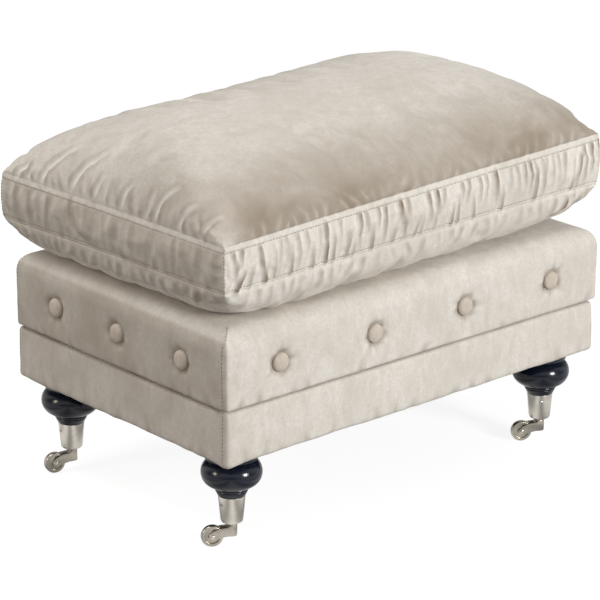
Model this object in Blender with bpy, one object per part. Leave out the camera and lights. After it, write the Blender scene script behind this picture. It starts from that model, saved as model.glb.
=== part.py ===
"""Storage ottoman: a velvet footstool whose buttoned upper box is a hinged lid, on four castors.

Metres, +Z up. The origin is on the floor under the middle of the base. X runs along the length,
the front faces -Y and the lid is hinged along the back.
"""

from dataclasses import dataclass
from math import copysign, cos, pi, radians, sin

import bmesh
import bpy
from mathutils import Matrix, Vector

# Clearance between pieces that touch, and the smallest radius drawn
GAP = 0.0003
LEAST_RADIUS = 0.001

# Castor wheel and horn
WHEEL_RADIUS = 0.0135
WHEEL_WIDTH = 0.008
WHEEL_RIM = 0.004
WHEEL_DISH = 0.0014
WHEEL_SIDE_CLEARANCE = 0.0005
HUB_RADIUS = 0.0046
AXLE_RADIUS = 0.002
AXLE_HEAD = 0.0007
AXLE_HEAD_RADIUS = 0.003
TRAIL = 0.0243
ARM_THICKNESS = 0.002
ARM_END_RADIUS = 0.0046
ARM_END_ANGLES = (-125.0, 40.0)
ARM_END_STEPS = 5
ARM_BEND_STEPS = 3
ARM_TOP_DROP = 0.0032
BOSS_EDGE = 0.0015
BOSS_HEIGHT = 0.0145
PINTLE_RADIUS = 0.003
PINTLE_HEAD = 0.002
PINTLE_HEAD_RADIUS = 0.0048
PEG_CLEARANCE = 0.001
PEG_EASE = 0.0006

# Castor cup and its screws
CUP_HEIGHT = 0.0379
CUP_TOP_RADIUS = 0.0168
CUP_LOW_RADIUS = 0.0137
CUP_WALL = 0.0016
CUP_NECK_HEIGHT = 0.0032
CUP_NECK_RADIUS = 0.0068
CUP_EDGE = 0.0015
CUP_SCREW_DROP = 0.0099
CUP_SCREW_HEAD_RADIUS = 0.0026
CUP_SCREW_RADIUS = 0.0013
CUP_SCREW_LENGTH = 0.010
CUP_SCREW_HEAD = 0.0009

# Turned foot
COLLAR_HEIGHT = 0.0078
COLLAR_RADIUS = 0.0204
COLLAR_TOP_RADIUS = 0.0196
BEAD_HEIGHT = 0.0045
BEAD_RADIUS = 0.0220
BEAD_ROUNDING = 0.35
BUN_HEIGHT = 0.0354
BUN_RADIUS = 0.0374
BUN_NECK_RADIUS = 0.0205
BUN_ANGLES = (-85.0, 65.0)
BUN_STEPS = 6
TOP_RING_HEIGHT = 0.0124
TOP_RING_RADIUS = 0.0330
FOOT_INSET = 0.046
STUD_RADIUS = 0.004
STUD_NUT_RADIUS = 0.009
STUD_NUT = 0.003

# Box of the base and of the lid
BASE_LENGTH = 0.617
BASE_DEPTH = 0.411
BASE_HEIGHT = 0.0651
LID_HEIGHT = 0.097
LID_OVERHANG_FRONT = 0.0045
LID_OVERHANG_SIDE = 0.0035
BOX_CORNER_RADIUS = 0.007
LOW_EDGE_RADIUS = 0.003
RIM_EDGE_RADIUS = 0.004
DECK_EDGE_RADIUS = 0.026
VELVET = 0.0015
BASE_WADDING = 0.004
LID_SIDE_FOAM = 0.012
DECK_FOAM = 0.015
RAIL_THICKNESS = 0.018
BOTTOM_BOARD = 0.012
DECK_BOARD = 0.009
LINING = 0.0012
LINING_STEP = 0.0005
DUST_CLOTH = 0.0008
DUST_CLOTH_MARGIN = 0.012
TURN_UNDER = 0.028
RIM_FELT_INSET = 0.009
RIM_FELT_WIDTH = 0.008

# Dowels glued in the front and back rails
DOWEL_RADIUS = 0.004
DOWEL_LENGTH = 0.020
DOWEL_SPREAD = 0.5

# Hinge
HINGE_LENGTH = 0.450
HINGE_KNUCKLES = 7
LEAF_THICKNESS = 0.0015
LEAF_MARGIN = 0.001
KNUCKLE_RADIUS = 0.003
KNUCKLE_STANDOFF = 0.0005
PIN_RADIUS = 0.0014
STOP_REACH = 0.008
STOP_LENGTH = 0.020
STOP_THICKNESS = 0.0015
LID_OPENING = 95.0
HINGE_SCREW_RADIUS = 0.0013
HINGE_SCREW_LENGTH = 0.014
HINGE_SCREWS = 5
HINGE_SCREW_PITCH = 0.100

# Covered buttons and the dimples that hold them
BUTTON_RADIUS = 0.012
BUTTON_DOME = 0.0062
BUTTON_HEIGHT = 0.043
BUTTON_SINK = 0.0040
DIMPLE_SPREAD = 0.014
NAIL_RADIUS = 0.0012
NAIL_LENGTH = 0.026
FRONT_BUTTONS = 4
FRONT_BUTTON_SPACING = 0.242  # as a share of the lid's length
END_BUTTONS = 3
END_BUTTON_SPACING = 0.296  # as a share of the lid's depth

# Loose cushion, as it lies on the deck
CUSHION_LENGTH = 0.632
CUSHION_DEPTH = 0.421
CUSHION_CENTRE = (-0.0039, 0.0039)
CUSHION_YAW = 1.2
TOP_SEAM_ABOVE_DECK = 0.1134
BORDER_HEIGHT = 0.0604
BORDER_BULGE = 0.0035
CROWN = 0.0785
CROWN_FLATNESS_ALONG = 6.9
CROWN_FLATNESS_ACROSS = 2.2
UNDERSIDE_DROP = 0.056
UNDERSIDE_FLATNESS = 6.1
SWELL_STEEPNESS = 0.53
SEAM_LEAN_ALONG = 0.0071
SEAM_LEAN_ACROSS = 0.001
LOW_SEAM_LEVELLING = 0.45
SIDE_DRAW_IN = 0.003
CORNER_PULL = 0.0015
CORNER_SHARPNESS = 9
CASE_CLOTH = 0.0015
PAD_EASE = 0.001

# Zip in the cushion's back border
ZIP_LENGTH = 0.40
ZIP_WIDTH = 0.009
ZIP_TAPE = 0.0012
ZIP_SINK = 0.0005
ZIP_TEETH_WIDTH = 0.004
ZIP_TEETH = 0.0012
SLIDER_LENGTH = 0.010
SLIDER_WIDTH = 0.0075
SLIDER_BODY = 0.0018
PULL_LENGTH = 0.022
PULL_WIDTH = 0.005
PULL_THICKNESS = 0.001

# Mesh resolution, and the angle past which an edge is drawn sharp
SHARP_EDGE = 35.0
CORNER_STEPS = 3
EDGE_STEPS = 3
ROUND_SIDES = 14
WHEEL_SIDES = 16
BARREL_SIDES = 8
SMALL_SIDES = 6
BUTTON_SIDES = 10
CUSHION_CELLS = (14, 10)

# Heights from the floor up
AXLE_Z = WHEEL_RADIUS
BOSS_TOP = AXLE_Z + BOSS_HEIGHT
CUP_BOTTOM = BOSS_TOP + GAP
CUP_TOP = CUP_BOTTOM + CUP_HEIGHT
CUP_FLOOR = CUP_BOTTOM + CUP_NECK_HEIGHT + CUP_WALL
PEG_BOTTOM = CUP_FLOOR + GAP + PINTLE_HEAD + PEG_CLEARANCE
FOOT_BOTTOM = CUP_TOP + GAP
FOOT_TOP = FOOT_BOTTOM + COLLAR_HEIGHT + BEAD_HEIGHT + BUN_HEIGHT + TOP_RING_HEIGHT
DUST_CLOTH_BOTTOM = FOOT_TOP + GAP
BASE_UNDERSIDE = DUST_CLOTH_BOTTOM + DUST_CLOTH + GAP
BASE_RIM = BASE_UNDERSIDE + BASE_HEIGHT
SPLIT_GAP = 2 * LEAF_THICKNESS + 3 * GAP
LID_UNDERSIDE = BASE_RIM + SPLIT_GAP
DECK_TOP = LID_UNDERSIDE + LID_HEIGHT
BOARD_BOTTOM = BASE_UNDERSIDE + VELVET + GAP
BOARD_TOP = BOARD_BOTTOM + BOTTOM_BOARD
DECK_FOAM_BOTTOM = DECK_TOP - VELVET - GAP - DECK_FOAM
DECK_BOARD_TOP = DECK_FOAM_BOTTOM - GAP
DECK_BOARD_BOTTOM = DECK_BOARD_TOP - DECK_BOARD
CUSHION_BOTTOM = DECK_TOP + GAP

# Distances inwards from the outer skin of each box
SKIN_INNER = VELVET + GAP
BASE_RAIL_INSET = SKIN_INNER + BASE_WADDING + GAP
BASE_WELL_INSET = BASE_RAIL_INSET + RAIL_THICKNESS
LID_RAIL_INSET = SKIN_INNER + LID_SIDE_FOAM + GAP
LID_WELL_INSET = LID_RAIL_INSET + RAIL_THICKNESS
HINGE_Y = BASE_DEPTH / 2 + KNUCKLE_STANDOFF + KNUCKLE_RADIUS
HINGE_Z = BASE_RIM + SPLIT_GAP / 2


@dataclass(frozen=True)
class Finish:
    """Colour, roughness and metallic value of a surface."""

    colour: tuple
    roughness: float
    metallic: float = 0.0


CHAMPAGNE_VELVET = Finish((0.62, 0.56, 0.49), 0.85)
BLACK_LACQUER = Finish((0.012, 0.014, 0.020), 0.18)
BRUSHED_NICKEL = Finish((0.62, 0.59, 0.55), 0.32, 1.0)
ZINC_STEEL = Finish((0.60, 0.60, 0.62), 0.40, 1.0)
SOFTWOOD = Finish((0.62, 0.44, 0.25), 0.65)
PLYWOOD = Finish((0.70, 0.54, 0.35), 0.60)
FOAM = Finish((0.85, 0.80, 0.62), 0.90)
WADDING = Finish((0.86, 0.86, 0.84), 0.95)
CALICO_LINING = Finish((0.55, 0.50, 0.44), 0.90)
BLACK_CLOTH = Finish((0.02, 0.02, 0.02), 0.95)
GREY_FELT = Finish((0.30, 0.30, 0.30), 0.95)
NYLON_TAPE = Finish((0.60, 0.55, 0.48), 0.80)


@dataclass(frozen=True)
class Plan:
    """The outline of a box seen from above, its four corners rounded alike."""

    x_low: float
    x_high: float
    y_low: float
    y_high: float
    radius: float

    def inset(self, distance):
        """The same outline drawn inwards, with concentric corners as long as they last."""
        return Plan(
            self.x_low + distance,
            self.x_high - distance,
            self.y_low + distance,
            self.y_high - distance,
            max(self.radius - distance, LEAST_RADIUS),
        )

    def loop(self, z):
        """The outline's points at one height."""
        radii = (self.radius,) * 4
        outline = rounded_outline(self.x_low, self.x_high, self.y_low, self.y_high, radii)
        return [Vector((x, y, z)) for x, y in outline]


BASE_PLAN = Plan(-BASE_LENGTH / 2, BASE_LENGTH / 2, -BASE_DEPTH / 2, BASE_DEPTH / 2, BOX_CORNER_RADIUS)
LID_PLAN = Plan(
    BASE_PLAN.x_low - LID_OVERHANG_SIDE,
    BASE_PLAN.x_high + LID_OVERHANG_SIDE,
    BASE_PLAN.y_low - LID_OVERHANG_FRONT,
    BASE_PLAN.y_high,
    BOX_CORNER_RADIUS,
)
FOOT_X = BASE_LENGTH / 2 - FOOT_INSET
FOOT_Y = BASE_DEPTH / 2 - FOOT_INSET
FOOT_PLACES = {
    "front_left": (-FOOT_X, -FOOT_Y),
    "front_right": (FOOT_X, -FOOT_Y),
    "back_left": (-FOOT_X, FOOT_Y),
    "back_right": (FOOT_X, FOOT_Y),
}
SWIVEL_ANGLES = {"front_left": 147.0, "front_right": 150.0, "back_left": 164.0, "back_right": 154.0}
CUP_ANGLES = {"front_left": 178.0, "front_right": 232.0, "back_left": 172.0, "back_right": 200.0}


# Small geometry helpers


def rounded_outline(x_low, x_high, y_low, y_high, radii, steps=CORNER_STEPS):
    """Anticlockwise outline of a rectangle from its low corner; a radius of 0 leaves a corner sharp."""
    corners = ((x_low, y_low, 1, 1), (x_high, y_low, -1, 1), (x_high, y_high, -1, -1), (x_low, y_high, 1, -1))
    points = []
    for number, ((x, y, into_x, into_y), radius) in enumerate(zip(corners, radii)):
        if radius == 0:
            points.append((x, y))
            continue
        centre_x, centre_y = x + into_x * radius, y + into_y * radius
        for step in range(steps + 1):
            angle = pi + (number + step / steps) * pi / 2
            points.append((centre_x + radius * cos(angle), centre_y + radius * sin(angle)))
    return points


def quarter(inset, height, radius, start, end, steps=EDGE_STEPS):
    """(inset, height) points on an arc about a centre; 0 degrees faces outwards and 90 upwards."""
    angles = [radians(start + (end - start) * step / steps) for step in range(steps + 1)]
    return [(inset - radius * cos(angle), height + radius * sin(angle)) for angle in angles]


def box_profile(offset, bottom, top, high_radius):
    """(inset, height) points up the side of a padded box, offset inwards from its outer skin."""
    low = max(LOW_EDGE_RADIUS - offset, LEAST_RADIUS / 2)
    high = max(high_radius - offset, LEAST_RADIUS / 2)
    return quarter(low + offset, bottom + offset + low, low, -90, 0, 2) + quarter(
        high + offset, top - offset - high, high, 0, 90
    )


def closed_mesh(name, bm):
    """Turns a bmesh into a mesh with its faces pointing out."""
    bmesh.ops.recalc_face_normals(bm, faces=bm.faces)
    mesh = bpy.data.meshes.new(name)
    bm.to_mesh(mesh)
    bm.free()
    return mesh


def loft(name, loops, ring=False):
    """Skins a row of equal loops: a tube that closes on itself, or a solid with both ends filled."""
    bm = bmesh.new()
    rows = [[bm.verts.new(point) for point in loop] for loop in loops]
    following = rows[1:] + rows[:1] if ring else rows[1:]
    for row, after in zip(rows, following):
        for i in range(len(row)):
            j = (i + 1) % len(row)
            bm.faces.new((row[i], row[j], after[j], after[i]))
    if not ring:
        bm.faces.new(rows[0])
        bm.faces.new(rows[-1])
    return closed_mesh(name, bm)


def prism(name, outline, bottom, top):
    """Extrudes a plan outline between two heights."""
    return loft(name, [[Vector((x, y, z)) for x, y in outline] for z in (bottom, top)])


def block(name, low, high):
    """A rectangular block between two corners."""
    outline = rounded_outline(low[0], high[0], low[1], high[1], (0, 0, 0, 0))
    return prism(name, outline, low[2], high[2])


def turn(bm, profile, sides, place=Matrix.Identity(4)):
    """Adds a body turned about a local Z axis from (radius, height) points.

    A profile that starts and ends on the axis makes a solid; any other one closes on itself as a ring.
    """
    rings = []
    for radius, height in profile:
        angles = [0.0] if radius == 0 else [2 * pi * side / sides for side in range(sides)]
        points = [Vector((radius * cos(a), radius * sin(a), height)) for a in angles]
        rings.append([bm.verts.new(place @ point) for point in points])
    on_axis = profile[0][0] == 0 and profile[-1][0] == 0
    following = rings[1:] if on_axis else rings[1:] + rings[:1]
    for ring, after in zip(rings, following):
        for side in range(sides):
            following_side = (side + 1) % sides
            if len(ring) == 1:
                bm.faces.new((ring[0], after[following_side], after[side]))
            elif len(after) == 1:
                bm.faces.new((ring[side], ring[following_side], after[0]))
            else:
                bm.faces.new((ring[side], ring[following_side], after[following_side], after[side]))


def turned(name, profile, sides=ROUND_SIDES, places=(Matrix.Identity(4),)):
    """A mesh of one turned body, or of several alike at the given places."""
    bm = bmesh.new()
    for place in places:
        turn(bm, profile, sides, place)
    return closed_mesh(name, bm)


def facing(point, direction):
    """Matrix that stands a body at a point with its local Z along a direction."""
    turn_to = Vector(direction).to_track_quat("Z", "Y").to_matrix().to_4x4()
    return Matrix.Translation(point) @ turn_to


def rod(radius, start, end):
    """Profile of a plain cylinder between two heights."""
    return [(0, start), (radius, start), (radius, end), (0, end)]


def shank(radius, start, length):
    """Profile of a screw's shank from a height down to its point."""
    return [(0, start), (radius, start), (radius, 2 * radius - length), (0, -length)]


def hole(radius, sides):
    """Radius of a many-sided hole that clears a round piece of the given radius all round."""
    return (radius + GAP) / cos(pi / sides)


# Objects, cuts and joints


def clear_scene():
    """Removes whatever the scene starts with."""
    for obj in list(bpy.data.objects):
        bpy.data.objects.remove(obj)


def add(name, mesh, finish, carrier=None):
    """Links one sub-part with its own material and, if it moves, hangs it on its joint's empty."""
    obj = bpy.data.objects.new(name, mesh)
    bpy.context.scene.collection.objects.link(obj)
    mesh.shade_smooth()
    mesh.set_sharp_from_angle(angle=radians(SHARP_EDGE))
    material = bpy.data.materials.new(name)
    material.use_nodes = True
    shader = material.node_tree.nodes["Principled BSDF"]
    shader.inputs["Base Color"].default_value = (*finish.colour, 1.0)
    shader.inputs["Roughness"].default_value = finish.roughness
    shader.inputs["Metallic"].default_value = finish.metallic
    if not mesh.materials:
        mesh.materials.append(None)
    obj.material_slots[0].link = "OBJECT"
    obj.material_slots[0].material = material
    if carrier is not None:
        hang(obj, carrier)
    return obj


def joint_empty(name, location, yaw=0.0):
    """An empty on a joint's axis, turned about Z by an angle in degrees."""
    empty = bpy.data.objects.new(name, None)
    empty.location = location
    empty.rotation_euler.z = radians(yaw)
    bpy.context.scene.collection.objects.link(empty)
    return empty


def hang(obj, empty):
    """Parents what is modelled in place to a joint's empty, without moving it."""
    obj.parent = empty
    obj.matrix_parent_inverse = empty.matrix_basis.inverted()


def shaped(name, mesh, *steps):
    """Applies Boolean steps to a mesh; each step is an operation and the mesh that it takes."""
    collection = bpy.context.scene.collection
    body = bpy.data.objects.new(name, mesh)
    others = []
    collection.objects.link(body)
    for operation, other_mesh in steps:
        other = bpy.data.objects.new(name + "_other", other_mesh)
        other.hide_render = True
        other.display_type = "WIRE"
        collection.objects.link(other)
        modifier = body.modifiers.new(operation, "BOOLEAN")
        modifier.operation = operation
        modifier.solver = "EXACT"
        modifier.object = other
        others.append(other)
    evaluated = body.evaluated_get(bpy.context.evaluated_depsgraph_get())
    result = bpy.data.meshes.new_from_object(evaluated)
    result.name = name
    for obj in (body, *others):
        bpy.data.objects.remove(obj)
    return result


def across(name, outline, y_low, y_high):
    """Extrudes an (x, z) outline sideways, along Y."""
    return loft(name, [[Vector((x, y, z)) for x, z in outline] for y in (y_low, y_high)])


def along_x(radius, x_low, x_high, y, z, sides):
    """A plain cylinder along X."""
    place = facing((0, y, z), (1, 0, 0))
    return turned("cylinder", rod(radius, x_low, x_high), sides, (place,))


def split_profile(profile, height):
    """The parts of a rising (inset, height) profile below and above a height, each with a point on it."""
    below = [point for point in profile if point[1] < height]
    above = [point for point in profile if point[1] > height]
    (inset, low), (next_inset, high) = below[-1], above[0]
    crossing = (inset + (next_inset - inset) * (height - low) / (high - low), height)
    return below + [crossing], [crossing] + above


def loops_of(plan, profile):
    """A plan's outline at each (inset, height) of a profile."""
    return [plan.inset(inset).loop(height) for inset, height in profile]


# Castors and feet


def cup_radius(z):
    """Outer radius of the tapered cup at a height."""
    low = CUP_BOTTOM + CUP_NECK_HEIGHT + CUP_EDGE
    return CUP_LOW_RADIUS + (CUP_TOP_RADIUS - CUP_LOW_RADIUS) * (z - low) / (CUP_TOP - low)


def cup_screw_places():
    """Two opposite screws through the cup's wall, in the cup's own frame."""
    height = CUP_TOP - CUP_SCREW_DROP
    reach = cup_radius(height)
    return [facing((side * reach, 0, height), (side, 0, 0)) for side in (1, -1)]


def cup_mesh():
    """Tapered cup on the foot's peg, with a neck that the pintle turns in and its two screws."""
    neck_top = CUP_BOTTOM + CUP_NECK_HEIGHT
    profile = [
        (hole(PINTLE_RADIUS, ROUND_SIDES), CUP_BOTTOM),
        (CUP_NECK_RADIUS, CUP_BOTTOM),
        (CUP_NECK_RADIUS + CUP_EDGE / 2, neck_top - CUP_EDGE),
        (CUP_LOW_RADIUS - CUP_EDGE, neck_top),
        (CUP_LOW_RADIUS, neck_top + CUP_EDGE),
        (CUP_TOP_RADIUS, CUP_TOP),
        (CUP_TOP_RADIUS - CUP_WALL, CUP_TOP),
        (cup_radius(CUP_FLOOR) - CUP_WALL, CUP_FLOOR),
        (hole(PINTLE_RADIUS, ROUND_SIDES), CUP_FLOOR),
    ]
    screw = [
        (0, CUP_SCREW_HEAD),
        (CUP_SCREW_HEAD_RADIUS * 0.8, CUP_SCREW_HEAD * 0.8),
        (CUP_SCREW_HEAD_RADIUS, -CUP_WALL / 2),
        (CUP_SCREW_RADIUS, -CUP_WALL / 2),
        (CUP_SCREW_RADIUS, 2 * CUP_SCREW_RADIUS - CUP_SCREW_LENGTH),
        (0, -CUP_SCREW_LENGTH),
    ]
    screws = turned("cup_screws", screw, SMALL_SIDES, cup_screw_places())
    return shaped("cup", turned("cup_blank", profile), ("UNION", screws))


def foot_mesh():
    """Turned foot: peg, collar, bead, bun and top ring, with the stud and nut that hold it."""
    bead_bottom = FOOT_BOTTOM + COLLAR_HEIGHT
    bun_bottom = bead_bottom + BEAD_HEIGHT
    ring_bottom = bun_bottom + BUN_HEIGHT
    bun_middle = (bun_bottom + ring_bottom) / 2
    swell = BUN_RADIUS - BUN_NECK_RADIUS
    nut_bottom = BOARD_TOP - STUD_NUT
    peg = cup_radius(PEG_BOTTOM) - CUP_WALL - PEG_EASE
    profile = [
        (0, PEG_BOTTOM),
        (peg, PEG_BOTTOM),
        (CUP_TOP_RADIUS - CUP_WALL - PEG_EASE, FOOT_BOTTOM),
        (CUP_TOP_RADIUS + GAP, FOOT_BOTTOM),
        (COLLAR_RADIUS, bead_bottom - LEAST_RADIUS),
        (COLLAR_TOP_RADIUS, bead_bottom),
        (BEAD_RADIUS, bead_bottom + BEAD_HEIGHT * BEAD_ROUNDING),
        (BEAD_RADIUS, bun_bottom - BEAD_HEIGHT * BEAD_ROUNDING),
    ]
    first, last = BUN_ANGLES
    for step in range(BUN_STEPS + 1):
        angle = radians(first + (last - first) * step / BUN_STEPS)
        profile.append((BUN_NECK_RADIUS + swell * cos(angle), bun_middle + BUN_HEIGHT / 2 * sin(angle)))
    profile += [
        (TOP_RING_RADIUS - LOW_EDGE_RADIUS, ring_bottom + GAP),
        (TOP_RING_RADIUS, ring_bottom + LOW_EDGE_RADIUS / 2),
        (TOP_RING_RADIUS, FOOT_TOP),
        (STUD_RADIUS, FOOT_TOP),
        (STUD_RADIUS, nut_bottom),
        (STUD_NUT_RADIUS, nut_bottom),
        (STUD_NUT_RADIUS, BOARD_TOP),
        (0, BOARD_TOP),
    ]
    screw_hole = shank(hole(CUP_SCREW_RADIUS, SMALL_SIDES), CUP_WALL, CUP_SCREW_LENGTH + 2 * GAP)
    holes = turned("cup_screw_holes", screw_hole, SMALL_SIDES, cup_screw_places())
    return shaped("foot", turned("foot_blank", profile), ("DIFFERENCE", holes))


def horn_mesh():
    """Boss and pintle with two arms that reach back and down to the axle, in the swivel's own frame."""
    half_width = WHEEL_WIDTH / 2 + WHEEL_SIDE_CLEARANCE + ARM_THICKNESS
    reach = TRAIL + ARM_END_RADIUS
    arm_top = BOSS_TOP - ARM_TOP_DROP
    outline = [
        (-half_width, AXLE_Z + BOSS_EDGE),
        (-half_width + BOSS_EDGE, AXLE_Z),
        (half_width, AXLE_Z),
        (TRAIL / 2, AXLE_Z - ARM_END_RADIUS / 4),
    ]
    first, last = ARM_END_ANGLES
    for step in range(ARM_END_STEPS + 1):
        angle = radians(first + (last - first) * step / ARM_END_STEPS)
        outline.append((TRAIL + ARM_END_RADIUS * cos(angle), AXLE_Z + ARM_END_RADIUS * sin(angle)))
    start = Vector(outline[-1])
    bend = Vector((TRAIL - ARM_END_RADIUS / 2, arm_top))
    finish = Vector((half_width - BOSS_EDGE, arm_top))
    for step in range(1, ARM_BEND_STEPS + 1):
        share = step / ARM_BEND_STEPS
        point = (1 - share) ** 2 * start + 2 * share * (1 - share) * bend + share**2 * finish
        outline.append(tuple(point))
    outline += [(half_width - ARM_TOP_DROP - BOSS_EDGE, BOSS_TOP), (-half_width, BOSS_TOP)]
    round_end = half_width - GAP
    radii = (round_end, 0, 0, round_end)
    plan = rounded_outline(-half_width, reach + BOSS_EDGE, -half_width, half_width, radii, CORNER_STEPS + 1)
    pintle = [
        (0, BOSS_TOP - BOSS_HEIGHT / 2),
        (PINTLE_RADIUS, BOSS_TOP - BOSS_HEIGHT / 2),
        (PINTLE_RADIUS, CUP_FLOOR + GAP),
        (PINTLE_HEAD_RADIUS, CUP_FLOOR + GAP),
        (PINTLE_HEAD_RADIUS, CUP_FLOOR + GAP + PINTLE_HEAD),
        (0, CUP_FLOOR + GAP + PINTLE_HEAD),
    ]
    slot = WHEEL_WIDTH / 2 + WHEEL_SIDE_CLEARANCE
    axle_place = facing((TRAIL, 0, AXLE_Z), (0, 1, 0))
    axle_hole = rod(hole(AXLE_RADIUS, BARREL_SIDES), -2 * half_width, 2 * half_width)
    return shaped(
        "horn",
        across("horn_side", outline, -2 * half_width, 2 * half_width),
        ("INTERSECT", prism("horn_plan", plan, 0, 2 * BOSS_TOP)),
        ("DIFFERENCE", block("horn_slot", (half_width, -slot, 0), (2 * reach, slot, 2 * BOSS_TOP))),
        ("DIFFERENCE", turned("axle_hole", axle_hole, BARREL_SIDES, (axle_place,))),
        ("UNION", turned("pintle", pintle, BARREL_SIDES)),
    )


def wheel_mesh():
    """Solid metal wheel about its own Z axis: raised rim, dished face and a hub."""
    half = WHEEL_WIDTH / 2
    dish = half - WHEEL_DISH
    rim = WHEEL_RADIUS - WHEEL_RIM
    one_side = [
        (hole(AXLE_RADIUS, WHEEL_SIDES), half),
        (HUB_RADIUS, half),
        (HUB_RADIUS + WHEEL_DISH / 3, dish),
        (rim - WHEEL_DISH / 3, dish),
        (rim, half),
        (WHEEL_RADIUS, half - WHEEL_DISH / 2),
    ]
    profile = one_side + [(radius, -height) for radius, height in reversed(one_side)]
    return turned("wheel", profile, WHEEL_SIDES)


def axle_mesh():
    """Axle rivet with a low head outside each arm, about its own Z axis."""
    inner = WHEEL_WIDTH / 2 + WHEEL_SIDE_CLEARANCE + ARM_THICKNESS + GAP
    profile = [
        (0, -inner - AXLE_HEAD),
        (AXLE_HEAD_RADIUS, -inner - AXLE_HEAD / 2),
        (AXLE_HEAD_RADIUS, -inner),
        (AXLE_RADIUS, -inner),
        (AXLE_RADIUS, inner),
        (AXLE_HEAD_RADIUS, inner),
        (AXLE_HEAD_RADIUS, inner + AXLE_HEAD / 2),
        (0, inner + AXLE_HEAD),
    ]
    return turned("axle", profile, BARREL_SIDES)


def build_castors_and_feet():
    """Four feet, each with a cup, a swivelling horn, its axle and its wheel."""
    foot, cup, horn, wheel, axle = foot_mesh(), cup_mesh(), horn_mesh(), wheel_mesh(), axle_mesh()
    for corner, (x, y) in FOOT_PLACES.items():
        stand = Matrix.Translation((x, y, 0)) @ Matrix.Rotation(radians(CUP_ANGLES[corner]), 4, "Z")
        for name, mesh, finish in (("foot", foot, BLACK_LACQUER), ("cup", cup, BRUSHED_NICKEL)):
            add(f"{name}_{corner}", mesh, finish).matrix_basis = stand
        swivel = joint_empty(f"swivel_{corner}", (x, y, 0), SWIVEL_ANGLES[corner])
        add(f"horn_{corner}", horn, BRUSHED_NICKEL).parent = swivel
        for name, mesh in (("axle", axle), ("wheel", wheel)):
            obj = add(f"{name}_{corner}", mesh, BRUSHED_NICKEL)
            obj.parent = swivel
            obj.location = (TRAIL, 0, AXLE_Z)
            obj.rotation_euler.x = pi / 2


# Base


def rails(plan, bottom, top):
    """Front and back rails with rounded ends, and the side rails that fit between them."""
    inner = plan.inset(RAIL_THICKNESS)
    front, back = (plan.radius, plan.radius, 0, 0), (0, 0, plan.radius, plan.radius)
    outlines = {
        "front": rounded_outline(plan.x_low, plan.x_high, plan.y_low, inner.y_low, front),
        "back": rounded_outline(plan.x_low, plan.x_high, inner.y_high, plan.y_high, back),
    }
    ends = (inner.y_low + GAP, inner.y_high - GAP)
    outlines["left"] = rounded_outline(plan.x_low, inner.x_low, *ends, (0, 0, 0, 0))
    outlines["right"] = rounded_outline(inner.x_high, plan.x_high, *ends, (0, 0, 0, 0))
    return {side: prism(side, outline, bottom, top) for side, outline in outlines.items()}


def dowel_places(plan, bottom, top, side):
    """Where the front or back rail's dowels enter the side rails, two at each corner."""
    inner = plan.inset(RAIL_THICKNESS)
    y, direction = (inner.y_low, (0, 1, 0)) if side == "front" else (inner.y_high, (0, -1, 0))
    middles = (plan.x_low + RAIL_THICKNESS / 2, plan.x_high - RAIL_THICKNESS / 2)
    levels = [(bottom + top) / 2 + half * DOWEL_SPREAD * (top - bottom) for half in (-0.5, 0.5)]
    return [facing((x, y, z), direction) for x in middles for z in levels]


def add_rails(name, plan, bottom, top, cutters, carrier=None):
    """The four rails of a box, dowelled at the corners and cut by the given cutters."""
    places = {side: dowel_places(plan, bottom, top, side) for side in ("front", "back")}
    dowel = rod(DOWEL_RADIUS, -RAIL_THICKNESS / 2, DOWEL_LENGTH)
    dowel_hole = rod(hole(DOWEL_RADIUS, SMALL_SIDES), -RAIL_THICKNESS / 2, DOWEL_LENGTH + GAP)
    for side, mesh in rails(plan, bottom, top).items():
        if side in places:
            steps = [("UNION", turned("dowels", dowel, SMALL_SIDES, places[side]))]
        else:
            steps = [("DIFFERENCE", turned("dowel_holes", dowel_hole, SMALL_SIDES, sum(places.values(), [])))]
        steps += [("DIFFERENCE", cutter) for cutter in cutters]
        add(f"{name}_rail_{side}", shaped(f"{name}_rail_{side}", mesh, *steps), SOFTWOOD, carrier)


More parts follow.
